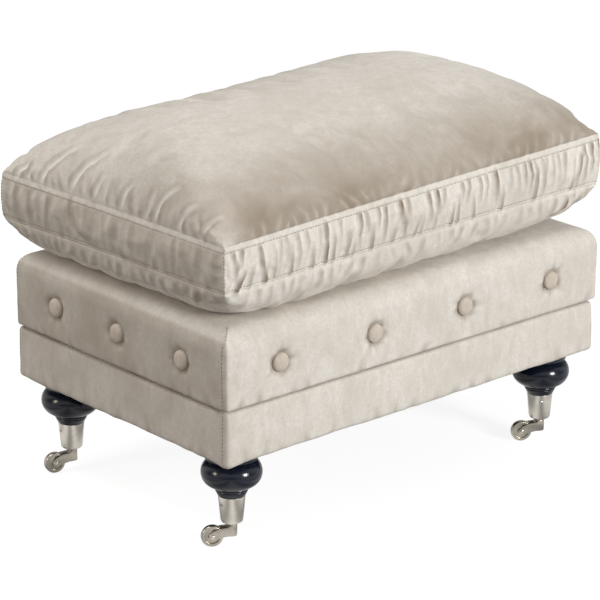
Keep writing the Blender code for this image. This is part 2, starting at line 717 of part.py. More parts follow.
def build_base(hinge_holes):
    """The plain lower box: board, rails, wadding, velvet cover, lining and dust cloth."""
    rail_plan = BASE_PLAN.inset(BASE_RAIL_INSET)
    rail_top = BASE_RIM - SKIN_INNER
    add_rails("base", rail_plan, BOARD_TOP + GAP, rail_top, (hinge_holes,))

    stud_places = [Matrix.Translation((x, y, 0)) for x, y in FOOT_PLACES.values()]
    recess_bottom = BOARD_TOP - STUD_NUT - GAP
    stud_hole = [
        (0, FOOT_TOP),
        (hole(STUD_RADIUS, BARREL_SIDES), FOOT_TOP),
        (hole(STUD_RADIUS, BARREL_SIDES), recess_bottom),
        (hole(STUD_NUT_RADIUS, BARREL_SIDES), recess_bottom),
        (hole(STUD_NUT_RADIUS, BARREL_SIDES), BOARD_TOP + GAP),
        (0, BOARD_TOP + GAP),
    ]
    holes = turned("stud_holes", stud_hole, BARREL_SIDES, stud_places)
    board = loft("board_blank", loops_of(rail_plan, [(0, BOARD_BOTTOM), (0, BOARD_TOP)]))
    add("bottom_board", shaped("bottom_board", board, ("DIFFERENCE", holes)), PLYWOOD)

    outer = box_profile(SKIN_INNER, BASE_UNDERSIDE, BASE_RIM, RIM_EDGE_RADIUS)
    inner = SKIN_INNER + BASE_WADDING
    ring = outer + [(inner, rail_top), (inner, BOARD_BOTTOM)]
    add("base_wadding", loft("base_wadding", loops_of(BASE_PLAN, ring), ring=True), WADDING)

    skin = box_profile(0, BASE_UNDERSIDE, BASE_RIM, RIM_EDGE_RADIUS)
    lining_side = box_profile(VELVET, BASE_UNDERSIDE, BASE_RIM, RIM_EDGE_RADIUS)
    ring = skin + [(BASE_WELL_INSET, BASE_RIM), (BASE_WELL_INSET, BASE_RIM - VELVET)]
    ring += list(reversed(lining_side))
    ring += [(TURN_UNDER, BASE_UNDERSIDE + VELVET), (TURN_UNDER, BASE_UNDERSIDE)]
    cover = loft("cover_blank", loops_of(BASE_PLAN, ring), ring=True)
    add("base_cover", shaped("base_cover", cover, ("DIFFERENCE", hinge_holes)), CHAMPAGNE_VELVET)

    well = BASE_WELL_INSET + GAP
    tray = [(well, BOARD_TOP + GAP), (well, BASE_RIM - LINING_STEP)]
    tray += [(well + LINING, BASE_RIM - LINING_STEP), (well + LINING, BOARD_TOP + GAP + LINING)]
    add("base_lining", loft("base_lining", loops_of(BASE_PLAN, tray)), CALICO_LINING)

    cloth_levels = (DUST_CLOTH_BOTTOM, DUST_CLOTH_BOTTOM + DUST_CLOTH)
    cloth = loops_of(BASE_PLAN, [(DUST_CLOTH_MARGIN, level) for level in cloth_levels])
    cloth_hole = rod(hole(STUD_RADIUS, BARREL_SIDES), DUST_CLOTH_BOTTOM - GAP, BASE_UNDERSIDE)
    holes = turned("cloth_holes", cloth_hole, BARREL_SIDES, stud_places)
    cloth = shaped("dust_cloth", loft("cloth_blank", cloth), ("DIFFERENCE", holes))
    add("dust_cloth", cloth, BLACK_CLOTH)

    felt = BASE_PLAN.inset(RIM_FELT_INSET)
    back = BASE_PLAN.y_high - BASE_WELL_INSET - LEAF_MARGIN
    outline = rounded_outline(felt.x_low, felt.x_high, felt.y_low, back, (felt.radius, felt.radius, 0, 0))
    room = felt.inset(RIM_FELT_WIDTH)
    opening = block("felt_room", (room.x_low, room.y_low, BASE_RIM), (room.x_high, BASE_DEPTH, LID_UNDERSIDE))
    strip = prism("felt_blank", outline, BASE_RIM + GAP, LID_UNDERSIDE - GAP)
    add("rim_felt", shaped("rim_felt", strip, ("DIFFERENCE", opening)), GREY_FELT)


# Hinge


def hinge_screw_places(y, z, direction):
    """A row of screws along the hinge."""
    steps = [number - (HINGE_SCREWS - 1) / 2 for number in range(HINGE_SCREWS)]
    return [facing((step * HINGE_SCREW_PITCH, y, z), direction) for step in steps]


def knuckle_stretches(first):
    """Every second knuckle's (low, high) stretch of X, from the first or the second one on."""
    pitch = HINGE_LENGTH / HINGE_KNUCKLES
    starts = [number * pitch - HINGE_LENGTH / 2 for number in range(first, HINGE_KNUCKLES, 2)]
    return [(start + GAP / 2, start + pitch - GAP / 2) for start in starts]


def leaf(name, y_front, z_low, knuckles, stops, screws):
    """One hinge leaf: a comb-shaped plate, its knuckles, stop tabs and screws."""
    half, rear = HINGE_LENGTH / 2, HINGE_Y - KNUCKLE_RADIUS - 2 * GAP
    finger_end = HINGE_Y - PIN_RADIUS - GAP
    outline = [(-half, y_front), (half, y_front), (half, rear)]
    for x_low, x_high in reversed(knuckles):
        left, right = x_low + GAP, x_high - GAP
        outline += [(right, rear), (right, finger_end), (left, finger_end), (left, rear)]
    outline.append((-half, rear))
    steps = []
    for x_low, x_high in knuckles:
        barrel = along_x(KNUCKLE_RADIUS, x_low, x_high, HINGE_Y, HINGE_Z, BARREL_SIDES)
        steps.append(("UNION", barrel))
    steps += [("UNION", stop) for stop in stops]
    bore = along_x(hole(PIN_RADIUS, BARREL_SIDES), -half - GAP, half + GAP, HINGE_Y, HINGE_Z, BARREL_SIDES)
    steps += [("DIFFERENCE", bore), ("UNION", screws)]
    return shaped(name, prism(name, outline, z_low, z_low + LEAF_THICKNESS), *steps)


def stop_tab(outline, offset, opened):
    """A tab of an (x, distance from the axis) outline, upright or turned back by the lid's opening."""
    tab = across("stop", outline, offset, offset + STOP_THICKNESS)
    turn_back = Matrix.Rotation(radians(-opened), 4, "X")
    tab.transform(Matrix.Translation((0, HINGE_Y, HINGE_Z)) @ turn_back)
    return tab


def lid_stop(x_low, x_high):
    """The tab that stands on one of the lid's knuckles."""
    low, high, root = x_low + GAP, x_high - GAP, (KNUCKLE_RADIUS + PIN_RADIUS) / 2
    outline = [(low, root), (high, root), (high, STOP_REACH), (low, STOP_REACH)]
    return stop_tab(outline, -STOP_THICKNESS / 2, 0)


def base_stop(x_low, x_high):
    """The tab that bridges that knuckle from its two neighbours on the base's leaf."""
    low, high, root = x_low - 2 * GAP, x_high + 2 * GAP, (KNUCKLE_RADIUS + PIN_RADIUS) / 2
    bridge = KNUCKLE_RADIUS + 2 * GAP
    outline = [
        (low - STOP_LENGTH, root),
        (low, root),
        (low, bridge),
        (high, bridge),
        (high, root),
        (high + STOP_LENGTH, root),
        (high + STOP_LENGTH, STOP_REACH),
        (low - STOP_LENGTH, STOP_REACH),
    ]
    return stop_tab(outline, STOP_THICKNESS / 2 + GAP, LID_OPENING)


def build_hinge(lid):
    """A continuous stop hinge behind the box, whose tabs meet when the lid is fully open.

    Returns the clearance holes of the screws in the base rail and in the lid rail.
    """
    base_y = BASE_PLAN.y_high - BASE_RAIL_INSET - RAIL_THICKNESS / 2
    lid_y = LID_PLAN.y_high - LID_RAIL_INSET - RAIL_THICKNESS / 2
    base_low, lid_low = BASE_RIM + GAP, BASE_RIM + 2 * GAP + LEAF_THICKNESS
    base_places = hinge_screw_places(base_y, base_low + LEAF_THICKNESS / 2, (0, 0, 1))
    lid_places = hinge_screw_places(lid_y, lid_low + LEAF_THICKNESS / 2, (0, 0, -1))
    screw = shank(HINGE_SCREW_RADIUS, 0, HINGE_SCREW_LENGTH)
    screw_hole = shank(hole(HINGE_SCREW_RADIUS, SMALL_SIDES), 0, HINGE_SCREW_LENGTH + 2 * GAP)
    rows = (base_places, lid_places)
    screws = [turned("hinge_screws", screw, SMALL_SIDES, places) for places in rows]
    holes = [turned("hinge_screw_holes", screw_hole, SMALL_SIDES, places) for places in rows]

    base_knuckles, lid_knuckles = knuckle_stretches(0), knuckle_stretches(1)
    stopped = (lid_knuckles[0], lid_knuckles[-1])
    base_stops = [base_stop(*stretch) for stretch in stopped]
    lid_stops = [lid_stop(*stretch) for stretch in stopped]

    base_front = BASE_PLAN.y_high - BASE_WELL_INSET + LEAF_MARGIN
    lid_front = LID_PLAN.y_high - LID_WELL_INSET + LEAF_MARGIN
    base_leaf = leaf("hinge_base_leaf", base_front, base_low, base_knuckles, base_stops, screws[0])
    lid_leaf = leaf("hinge_lid_leaf", lid_front, lid_low, lid_knuckles, lid_stops, screws[1])
    add("hinge_base_leaf", base_leaf, ZINC_STEEL)
    add("hinge_lid_leaf", lid_leaf, ZINC_STEEL, lid)
    pin = along_x(PIN_RADIUS, -HINGE_LENGTH / 2, HINGE_LENGTH / 2, HINGE_Y, HINGE_Z, BARREL_SIDES)
    add("hinge_pin", pin, ZINC_STEEL)
    return holes


# Lid


def button_places():
    """The outer face point and direction of every button, by side."""
    z = LID_UNDERSIDE + BUTTON_HEIGHT
    middle_y = (LID_PLAN.y_low + LID_PLAN.y_high) / 2
    front_pitch = FRONT_BUTTON_SPACING * (LID_PLAN.x_high - LID_PLAN.x_low)
    end_pitch = END_BUTTON_SPACING * (LID_PLAN.y_high - LID_PLAN.y_low)
    along = [(i - (FRONT_BUTTONS - 1) / 2) * front_pitch for i in range(FRONT_BUTTONS)]
    across_end = [middle_y + (i - (END_BUTTONS - 1) / 2) * end_pitch for i in range(END_BUTTONS)]
    return {
        "front": [facing((x, LID_PLAN.y_low, z), (0, -1, 0)) for x in along],
        "back": [facing((x, LID_PLAN.y_high, z), (0, 1, 0)) for x in along],
        "left": [facing((LID_PLAN.x_low, y, z), (-1, 0, 0)) for y in across_end],
        "right": [facing((LID_PLAN.x_high, y, z), (1, 0, 0)) for y in across_end],
    }


def dimples(name, offset):
    """Cutters for the dimples in the lid's side, offset inwards from its outer skin."""
    floor = -BUTTON_SINK - offset
    seat = hole(BUTTON_RADIUS, BUTTON_SIDES)
    spread = seat + DIMPLE_SPREAD
    profile = [(0, floor), (seat, floor), (spread, GAP - offset), (spread, BUTTON_SINK), (0, BUTTON_SINK)]
    places = [place for side in button_places().values() for place in side]
    return turned(name, profile, BUTTON_SIDES, places)


def build_lid(lid, hinge_holes):
    """The buttoned upper box that is the lid: rails, deck, foam, velvet cover, lining and buttons."""
    buttons = button_places()
    every_place = [place for side in buttons.values() for place in side]
    nail_tip = -BUTTON_SINK - NAIL_LENGTH
    nail_hole = rod(hole(NAIL_RADIUS, SMALL_SIDES), nail_tip - GAP, BUTTON_SINK)
    nail_holes = turned("nail_holes", nail_hole, SMALL_SIDES, every_place)

    rail_plan = LID_PLAN.inset(LID_RAIL_INSET)
    rail_bottom, rail_top = LID_UNDERSIDE + SKIN_INNER, DECK_BOARD_BOTTOM - GAP
    add_rails("lid", rail_plan, rail_bottom, rail_top, (nail_holes, hinge_holes), lid)
    board = loops_of(rail_plan, [(0, DECK_BOARD_BOTTOM), (0, DECK_BOARD_TOP)])
    add("deck_board", loft("deck_board", board), PLYWOOD, lid)

    padded = box_profile(SKIN_INNER, LID_UNDERSIDE, DECK_TOP, DECK_EDGE_RADIUS)
    inner = SKIN_INNER + LID_SIDE_FOAM
    side, _ = split_profile(padded, DECK_BOARD_TOP)
    ring = side + [(inner, DECK_BOARD_TOP), (inner, rail_bottom)]
    foam = loft("side_foam_blank", loops_of(LID_PLAN, ring), ring=True)
    cuts = ("DIFFERENCE", dimples("foam_dimples", SKIN_INNER)), ("DIFFERENCE", nail_holes)
    add("lid_side_foam", shaped("lid_side_foam", foam, *cuts), FOAM, lid)
    _, top = split_profile(padded, DECK_FOAM_BOTTOM)
    add("deck_foam", loft("deck_foam", loops_of(LID_PLAN, top)), FOAM, lid)

    outside, inside = [box_profile(depth, LID_UNDERSIDE, DECK_TOP, DECK_EDGE_RADIUS) for depth in (0, VELVET)]
    skin = loft("lid_skin", loops_of(LID_PLAN, outside))
    room = loft("lid_room", loops_of(LID_PLAN, inside))
    room = shaped("lid_room", room, ("DIFFERENCE", dimples("room_dimples", VELVET)))
    mouth_heights = (LID_UNDERSIDE - VELVET, LID_UNDERSIDE + 2 * VELVET)
    mouth = loops_of(LID_PLAN, [(LID_WELL_INSET, height) for height in mouth_heights])
    cover = shaped(
        "lid_cover",
        skin,
        ("DIFFERENCE", dimples("skin_dimples", 0)),
        ("DIFFERENCE", room),
        ("DIFFERENCE", loft("lid_mouth", mouth)),
        ("DIFFERENCE", nail_holes),
        ("DIFFERENCE", hinge_holes),
    )
    add("lid_cover", cover, CHAMPAGNE_VELVET, lid)

    well = LID_WELL_INSET + GAP
    tray = [(well, rail_top), (well, LID_UNDERSIDE + LINING_STEP)]
    tray += [(well + LINING, LID_UNDERSIDE + LINING_STEP), (well + LINING, rail_top - LINING)]
    add("lid_lining", loft("lid_lining", loops_of(LID_PLAN, tray)), CALICO_LINING, lid)

    back = GAP - BUTTON_SINK
    profile = [
        (0, back - NAIL_LENGTH),
        (NAIL_RADIUS, back),
        (BUTTON_RADIUS, back),
        (BUTTON_RADIUS, back + BUTTON_DOME * 0.3),
        (BUTTON_RADIUS * 0.8, back + BUTTON_DOME * 0.8),
        (0, back + BUTTON_DOME),
    ]
    button = turned("button", profile, BUTTON_SIDES)
    for side, places in buttons.items():
        for number, place in enumerate(places, 1):
            obj = add(f"button_{side}_{number}", button, CHAMPAGNE_VELVET, lid)
            obj.matrix_basis = place


# Cushion


def cushion_steps(cells):
    """Steps from -1 to 1 that lie closer together towards the seams."""
    return [sin(pi / 2 * (2 * i / cells - 1)) for i in range(cells + 1)]


def seam_point(u, v, drop):
    """A point of the cushion's plan at its seams, sunk by a drop below the top seam."""
    half_x, half_y = CUSHION_LENGTH / 2, CUSHION_DEPTH / 2
    corner = CORNER_PULL * abs(u * v) ** CORNER_SHARPNESS
    x = half_x * u - copysign(SIDE_DRAW_IN * u**4 * (1 - v**2) + corner, u) * (u != 0)
    y = half_y * v - copysign(SIDE_DRAW_IN * v**4 * (1 - u**2) + corner, v) * (v != 0)
    lean = (1 - LOW_SEAM_LEVELLING * drop / BORDER_HEIGHT) * (SEAM_LEAN_ALONG * u - SEAM_LEAN_ACROSS * v)
    return Vector((x, y, DECK_TOP + TOP_SEAM_ABOVE_DECK + lean - drop))


def swelling(position, flatness):
    """How far a panel has swollen out between two seams, from 0 at -1 and 1 to 1 in the middle."""
    return max(1 - abs(position) ** flatness, 0) ** SWELL_STEEPNESS


def cushion_top(u, v):
    """The crown: steep over the seams and nearly level in the middle."""
    swell = swelling(u, CROWN_FLATNESS_ALONG) * swelling(v, CROWN_FLATNESS_ACROSS)
    return seam_point(u, v, 0) + Vector((0, 0, CROWN * swell))


def cushion_underside(u, v):
    """The underside, which bulges below its seam and lies flat on the deck."""
    swell = swelling(u, UNDERSIDE_FLATNESS) * swelling(v, UNDERSIDE_FLATNESS)
    point = seam_point(u, v, BORDER_HEIGHT) - Vector((0, 0, UNDERSIDE_DROP * swell))
    point.z = max(point.z, CUSHION_BOTTOM)
    return point


def cushion_border(u, v, share):
    """A point on the border, a share of the way down from the top seam."""
    out = Vector((u**CORNER_SHARPNESS, v**CORNER_SHARPNESS, 0)).normalized()
    return seam_point(u, v, share * BORDER_HEIGHT) + out * BORDER_BULGE * 4 * share * (1 - share)


def cushion_bmesh():
    """The closed outer form of the cushion, in its own frame."""
    bm = bmesh.new()
    along, across_it = cushion_steps(CUSHION_CELLS[0]), cushion_steps(CUSHION_CELLS[1])
    last_i, last_j = CUSHION_CELLS
    grids = []
    for surface in (cushion_top, cushion_underside):
        grids.append([[bm.verts.new(surface(u, v)) for v in across_it] for u in along])
    for grid in grids:
        for i in range(last_i):
            for j in range(last_j):
                bm.faces.new((grid[i][j], grid[i + 1][j], grid[i + 1][j + 1], grid[i][j + 1]))
    rim = [(i, 0) for i in range(last_i)] + [(last_i, j) for j in range(last_j)]
    rim += [(i, last_j) for i in range(last_i, 0, -1)] + [(0, j) for j in range(last_j, 0, -1)]
    rows = [[grids[0][i][j] for i, j in rim]]
    for share in (1 / 3, 2 / 3):
        rows.append([bm.verts.new(cushion_border(along[i], across_it[j], share)) for i, j in rim])
    rows.append([grids[1][i][j] for i, j in rim])
    for row, after in zip(rows, rows[1:]):
        for k in range(len(rim)):
            n = (k + 1) % len(rim)
            bm.faces.new((row[k], row[n], after[n], after[k]))
    bmesh.ops.triangulate(bm, faces=bm.faces, quad_method="FIXED")
    bmesh.ops.recalc_face_normals(bm, faces=bm.faces)
    bm.normal_update()
    return bm


def shrunk_cushion(name, distance):
    """The cushion's form with its skin moved inwards by an even distance."""
    bm = cushion_bmesh()
    moves = [vert.normal * distance * vert.calc_shell_factor() for vert in bm.verts]
    for vert, move in zip(bm.verts, moves):
        vert.co -= move
    return closed_mesh(name, bm)


def build_cushion(cushion):
    """Velvet case, filled pad, and the zip with its slider."""
    place = Matrix.Translation((*CUSHION_CENTRE, 0)) @ Matrix.Rotation(radians(CUSHION_YAW), 4, "Z")
    middle = cushion_border(0, 1, 1 / 3)
    zip_z = seam_point(0, 1, BORDER_HEIGHT / 2).z
    zip_out = middle.y - ZIP_SINK
    zip_in = zip_out - ZIP_TAPE
    half, high = ZIP_LENGTH / 2, ZIP_WIDTH / 2
    beyond = CUSHION_DEPTH
    slot = block(
        "slot",
        (-half - GAP, zip_in - 2 * GAP, zip_z - high - GAP),
        (half + GAP, beyond, zip_z + high + GAP),
    )
    outer, inner = shrunk_cushion("case_outer", 0), shrunk_cushion("case_inner", CASE_CLOTH)
    case = shaped("cushion_case", outer, ("DIFFERENCE", inner), ("DIFFERENCE", slot))
    recess = block(
        "recess",
        (-half - 2 * GAP, zip_in - GAP, zip_z - high - 2 * GAP),
        (half + 2 * GAP, beyond, zip_z + high + 2 * GAP),
    )
    pad = shaped("cushion_pad", shrunk_cushion("pad_blank", CASE_CLOTH + PAD_EASE), ("DIFFERENCE", recess))

    tape = block("tape", (-half, zip_in, zip_z - high), (half, zip_out, zip_z + high))
    row = ZIP_TEETH_WIDTH / 2
    teeth = block(
        "teeth",
        (-half + row, zip_out - ZIP_TAPE / 2, zip_z - row),
        (half - row, zip_out + ZIP_TEETH, zip_z + row),
    )
    zipper = shaped("cushion_zip", tape, ("UNION", teeth))
    face = zip_out + ZIP_TEETH + GAP
    slide_x = -half + row + SLIDER_LENGTH / 2
    body = block(
        "body",
        (slide_x - SLIDER_LENGTH / 2, face, zip_z - SLIDER_WIDTH / 2),
        (slide_x + SLIDER_LENGTH / 2, face + SLIDER_BODY, zip_z + SLIDER_WIDTH / 2),
    )
    pull = block(
        "pull",
        (slide_x - PULL_WIDTH / 2, face + SLIDER_BODY / 2, zip_z - PULL_LENGTH),
        (slide_x + PULL_WIDTH / 2, face + SLIDER_BODY / 2 + PULL_THICKNESS, zip_z),
    )
    slider = shaped("zip_slider", body, ("UNION", pull))

    for mesh in (case, pad, zipper):
        mesh.transform(place)
    add("cushion_case", case, CHAMPAGNE_VELVET, cushion)
    add("cushion_pad", pad, FOAM, cushion)
    add("cushion_zip", zipper, NYLON_TAPE, cushion)
    runner = joint_empty("zip_slide", place @ Vector((slide_x, zip_out, zip_z)), CUSHION_YAW)
    hang(runner, cushion)
    slider.transform(place)
    add("zip_slider", slider, ZINC_STEEL, runner)


def main():
    """Builds the ottoman from the castors up."""
    clear_scene()
    lid = joint_empty("lid_hinge", (0, HINGE_Y, HINGE_Z))
    cushion = joint_empty("cushion_lift", (*CUSHION_CENTRE, CUSHION_BOTTOM), CUSHION_YAW)
    hang(cushion, lid)
    build_castors_and_feet()
    base_holes, lid_holes = build_hinge(lid)
    build_base(base_holes)
    build_lid(lid, lid_holes)
    build_cushion(cushion)


main()
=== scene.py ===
"""Dresses the storage ottoman: velvet covers, buttons, stitching, turned feet, castors, hinge and zip.

Metres, +Z up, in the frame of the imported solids. X runs along the length and the front faces -Y.
"""

import logging
import random
from contextlib import contextmanager
from dataclasses import dataclass, field
from enum import Enum
from math import cos, pi, radians, sin
from typing import Any, Iterator, Sequence

import bmesh
import bpy
import numpy as np
from mathutils import Matrix, Vector
from mathutils.bvhtree import BVHTree


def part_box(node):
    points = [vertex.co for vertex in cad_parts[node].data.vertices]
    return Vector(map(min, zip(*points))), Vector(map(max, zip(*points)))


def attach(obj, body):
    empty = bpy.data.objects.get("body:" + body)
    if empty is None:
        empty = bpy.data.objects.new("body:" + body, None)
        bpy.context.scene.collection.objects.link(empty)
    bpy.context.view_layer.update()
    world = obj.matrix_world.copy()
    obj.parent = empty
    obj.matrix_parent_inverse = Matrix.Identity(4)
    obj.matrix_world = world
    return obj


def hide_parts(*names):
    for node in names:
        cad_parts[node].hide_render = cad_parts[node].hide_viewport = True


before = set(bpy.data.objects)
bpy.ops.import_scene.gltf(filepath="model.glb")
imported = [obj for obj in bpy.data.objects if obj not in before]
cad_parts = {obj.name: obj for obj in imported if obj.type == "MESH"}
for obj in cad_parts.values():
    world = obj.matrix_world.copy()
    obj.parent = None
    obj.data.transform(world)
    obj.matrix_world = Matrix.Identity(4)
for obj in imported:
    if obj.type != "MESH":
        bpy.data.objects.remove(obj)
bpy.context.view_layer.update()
LOG = logging.getLogger("ottoman")
MM = 0.001
GAP = 0.3 * MM
UP = Vector((0, 0, 1))
PINE, PINE_LATE = "#dcb987", "#b98a55"
# Radius of the sewing thread, and the pitch and length of the stitches at the boxes' corners
THREAD = 0.00045
CORNER_STITCH = (0.0046, 0.0028)


class Body(str, Enum):
    """The bodies that pieces ride on, apart from the castors."""

    BASE = "base"
    LID = "lid"
    CUSHION = "cushion"
    SLIDER = "slider"


class Slot(str, Enum):
    """The record's material slots, named where some of the new pieces are laid."""

    VELVET = "velvet"
    LACQUER = "lacquered_wood"
    NICKEL = "nickel"
    ZINC = "zinc_steel"
    LINING = "lining"
    BLACK_CLOTH = "black_cloth"
    FELT = "felt"
    TAPE = "nylon_tape"


class Panel(Enum):
    """The panels that the cushion's case is sewn from."""

    TOP = "top"
    FRONT = "front border"
    BACK = "back border"
    LEFT = "left border"
    RIGHT = "right border"
    UNDERSIDE = "underside"


# Finishes


def linear(code: str) -> tuple[float, ...]:
    """Turns a colour from sRGB hex to linear values.

    Args:
        code: The colour as #rrggbb.

    Returns:
        Red, green, blue and an alpha of 1.
    """
    parts = [int(code[i : i + 2], 16) / 255 for i in (1, 3, 5)]
    return tuple(p / 12.92 if p <= 0.04045 else ((p + 0.055) / 1.055) ** 2.4 for p in parts) + (1.0,)


def set_inputs(node: bpy.types.Node, inputs: dict[str | int, Any]) -> None:
    """Sets or links a node's inputs.

    Args:
        node: The node.
        inputs: Values by socket name or number; a socket is linked, and a node by its first output.
    """
    for name, value in inputs.items():
        source = value.outputs[0] if isinstance(value, bpy.types.Node) else value
        if isinstance(source, bpy.types.NodeSocket):
            node.id_data.links.new(source, node.inputs[name])
        else:
            node.inputs[name].default_value = source


def add_node(
    tree: bpy.types.NodeTree, kind: str, inputs: dict[str | int, Any] | None = None, **settings: Any
) -> bpy.types.Node:
    """Adds one node to a tree.

    Args:
        tree: The node tree.
        kind: Blender's name of the node's type.
        inputs: Its inputs, as set_inputs takes them.
        settings: Attributes of the node.

    Returns:
        The node.
    """
    node = tree.nodes.new(kind)
    for name, value in settings.items():
        setattr(node, name, value)
    set_inputs(node, inputs or {})
    return node


@dataclass(frozen=True)
class Finish:
    """What every finish has: a name, two colours, a roughness and a metallic value."""

    name: str
    colour: str
    shade: str
    roughness: float = 0.5
    metallic: float = 0.0

    def start(self) -> tuple[bpy.types.Material, bpy.types.NodeTree, bpy.types.Node, bpy.types.NodeSocket]:
        """Makes the material with its shader.

        Returns:
            The material, its tree, the Principled shader and the Object coordinates.
        """
        material = bpy.data.materials.new(self.name)
        material.use_nodes = True
        material.diffuse_color = linear(self.colour)
        tree = material.node_tree
        shader = tree.nodes["Principled BSDF"]
        plain = {"Base Color": linear(self.colour), "Roughness": self.roughness, "Metallic": self.metallic}
        set_inputs(shader, plain)
        return material, tree, shader, add_node(tree, "ShaderNodeTexCoord").outputs["Object"]

    def blend(self, tree: bpy.types.NodeTree, factor: Any, low: Any, high: Any) -> bpy.types.NodeSocket:
        """Mixes two colours by a factor.

        Args:
            tree: The node tree.
            factor: The factor's socket.
            low: Colour where the factor is 0.
            high: Colour where the factor is 1.

        Returns:
            The mixed colour's socket.
        """
        return add_node(tree, "ShaderNodeMix", {0: factor, 6: low, 7: high}, data_type="RGBA").outputs[2]


@dataclass(frozen=True)
class Velvet(Finish):
    """Cut-pile upholstery velvet: the pile leans this way and that, and its colour is painted browner as
    shade.

    A mesh may carry two point attributes. The first is 1 where the colour is painted browner as painted
    shade, for how the light falls and partly for the pile's lean. The second, ridge, is 1 on the top of a
    fold and -1 in its valley, where the colour is painted lighter as a painted highlight and darker as
    painted shade.
    """

    # Painted shade colour: the velvet is painted towards it where the first mark says
    warm: str = "#8c7f6f"
    # Painted highlight on fold tops, then painted shade in fold valleys, both by the ridge mark
    crest: str = "#ece8e0"
    valley: str = "#8b7e6f"
    patch_mm: float = 85.0
    streak_mm: float = 15.0
    mottle_mm: float = 4.0
    pile_mm: float = 1.1

    def noise(
        self, tree: bpy.types.NodeTree, place: Any, size_mm: float, detail: float, top: float
    ) -> bpy.types.Node:
        """Adds one soft pattern of the pile.

        Args:
            tree: The node tree.
            place: Coordinates.
            size_mm: Size of its spots.
            detail: How broken they are.
            top: Share of the darker colour at most.

        Returns:
            The node that gives the pattern.
        """
        soft = {"Detail": detail, "Roughness": 0.6, "Distortion": 0.5}
        spots = add_node(tree, "ShaderNodeTexNoise", {"Vector": place, "Scale": 1 / (size_mm * MM), **soft})
        limits = {"Value": spots, "From Min": 0.40, "From Max": 0.70, "To Max": top}
        return add_node(tree, "ShaderNodeMapRange", limits)

    def material(self) -> bpy.types.Material:
        """Builds the velvet."""
        material, tree, shader, place = self.start()
        brushed = add_node(tree, "ShaderNodeMapping", {"Vector": place, "Scale": (1.0, 1.0, 0.4)})
        patches = self.noise(tree, place, self.patch_mm, 3.0, 0.45)
        streaks = self.noise(tree, brushed, self.streak_mm, 5.0, 0.5)
        mottle = self.noise(tree, place, self.mottle_mm, 3.0, 0.45)
        pile = self.noise(tree, place, self.pile_mm, 1.0, 0.4)
        nap = add_node(tree, "ShaderNodeAttribute", attribute_name="nap").outputs["Fac"]
        ridge = add_node(tree, "ShaderNodeAttribute", attribute_name="ridge").outputs["Fac"]
        uneven = add_node(tree, "ShaderNodeMath", {0: patches, 1: 0.7, 2: 0.75}, operation="MULTIPLY_ADD")
        colour = self.blend(tree, patches, linear(self.colour), linear(self.shade))
        for pattern in (streaks, mottle, pile):
            colour = self.blend(tree, pattern, colour, linear(self.shade))
        multiplied = {"operation": "MULTIPLY", "use_clamp": True}
        # Painted shade and highlight: browner by the first mark, lighter on fold tops and darker in fold
        # valleys by ridge
        tints = ((nap, uneven, self.warm), (ridge, 0.55, self.crest), (ridge, -0.6, self.valley))
        for amount, share, tint in tints:
            part = add_node(tree, "ShaderNodeMath", {0: amount, 1: share}, **multiplied)
            colour = self.blend(tree, part, colour, linear(tint))
        fibres = add_node(tree, "ShaderNodeBump", {"Height": pile, "Strength": 0.35, "Distance": 0.0006})
        ruffled = {"Height": streaks, "Strength": 0.30, "Distance": 0.0016, "Normal": fibres}
        sheen = {"Sheen Weight": 0.35, "Sheen Roughness": 0.35, "Sheen Tint": linear("#f6f2ea")}
        set_inputs(shader, {"Base Color": colour, "Normal": add_node(tree, "ShaderNodeBump", ruffled)})
        set_inputs(shader, {"Specular IOR Level": 0.12, **sheen})
        return material


@dataclass(frozen=True)
class Lacquer(Finish):
    """Sprayed gloss lacquer on turned beech: nearly flat, with a faint orange peel under a clear coat."""

    peel_mm: float = 2.2

    def material(self) -> bpy.types.Material:
        """Builds the lacquer."""
        material, tree, shader, place = self.start()
        wavy = {"Vector": place, "Scale": 1 / (self.peel_mm * MM), "Detail": 1.0}
        peel = add_node(tree, "ShaderNodeTexNoise", wavy)
        dust = add_node(tree, "ShaderNodeTexNoise", {"Vector": place, "Scale": 260.0, "Detail": 5.0})
        rough = self.roughness
        limits = {"From Min": 0.4, "From Max": 0.7, "To Min": rough, "To Max": rough + 0.1}
        relief = {"Height": peel, "Strength": 0.05, "Distance": 0.0003}
        inputs = {
            "Base Color": self.blend(tree, dust, linear(self.colour), linear(self.shade)),
            "Roughness": add_node(tree, "ShaderNodeMapRange", {"Value": dust, **limits}),
            "Normal": add_node(tree, "ShaderNodeBump", relief),
        }
        set_inputs(shader, inputs)
        set_inputs(shader, {"Specular IOR Level": 0.34, "Coat Weight": 0.15, "Coat Roughness": 0.08})
        return material


@dataclass(frozen=True)
class Metal(Finish):
    """Plated or pressed metal: turned or rolled lines that stretch the highlights, and a dulled grime."""

    line_mm: float = 0.5
    stretch: tuple[float, float, float] = (1.0, 1.0, 5.0)

    def material(self) -> bpy.types.Material:
        """Builds the metal."""
        material, tree, shader, place = self.start()
        lay = add_node(tree, "ShaderNodeMapping", {"Vector": place, "Scale": self.stretch})
        fine = {"Vector": lay, "Scale": 1 / (self.line_mm * MM), "Detail": 2.0}
        lines = add_node(tree, "ShaderNodeTexNoise", fine)
        grime = add_node(tree, "ShaderNodeTexNoise", {"Vector": place, "Scale": 1 / 0.009, "Detail": 3.0})
        rough = self.roughness
        limits = {"From Min": 0.35, "From Max": 0.7, "To Min": rough, "To Max": rough + 0.05}
        few = {"Value": grime, "From Min": 0.45, "From Max": 0.8, "To Max": 0.4}
        dulled = add_node(tree, "ShaderNodeMapRange", few)
        relief = {"Height": lines, "Strength": 0.04, "Distance": 0.0001}
        inputs = {
            "Base Color": self.blend(tree, dulled, linear(self.colour), linear(self.shade)),
            "Roughness": add_node(tree, "ShaderNodeMapRange", {"Value": grime, **limits}),
            "Normal": add_node(tree, "ShaderNodeBump", relief),
        }
        set_inputs(shader, inputs)
        return material


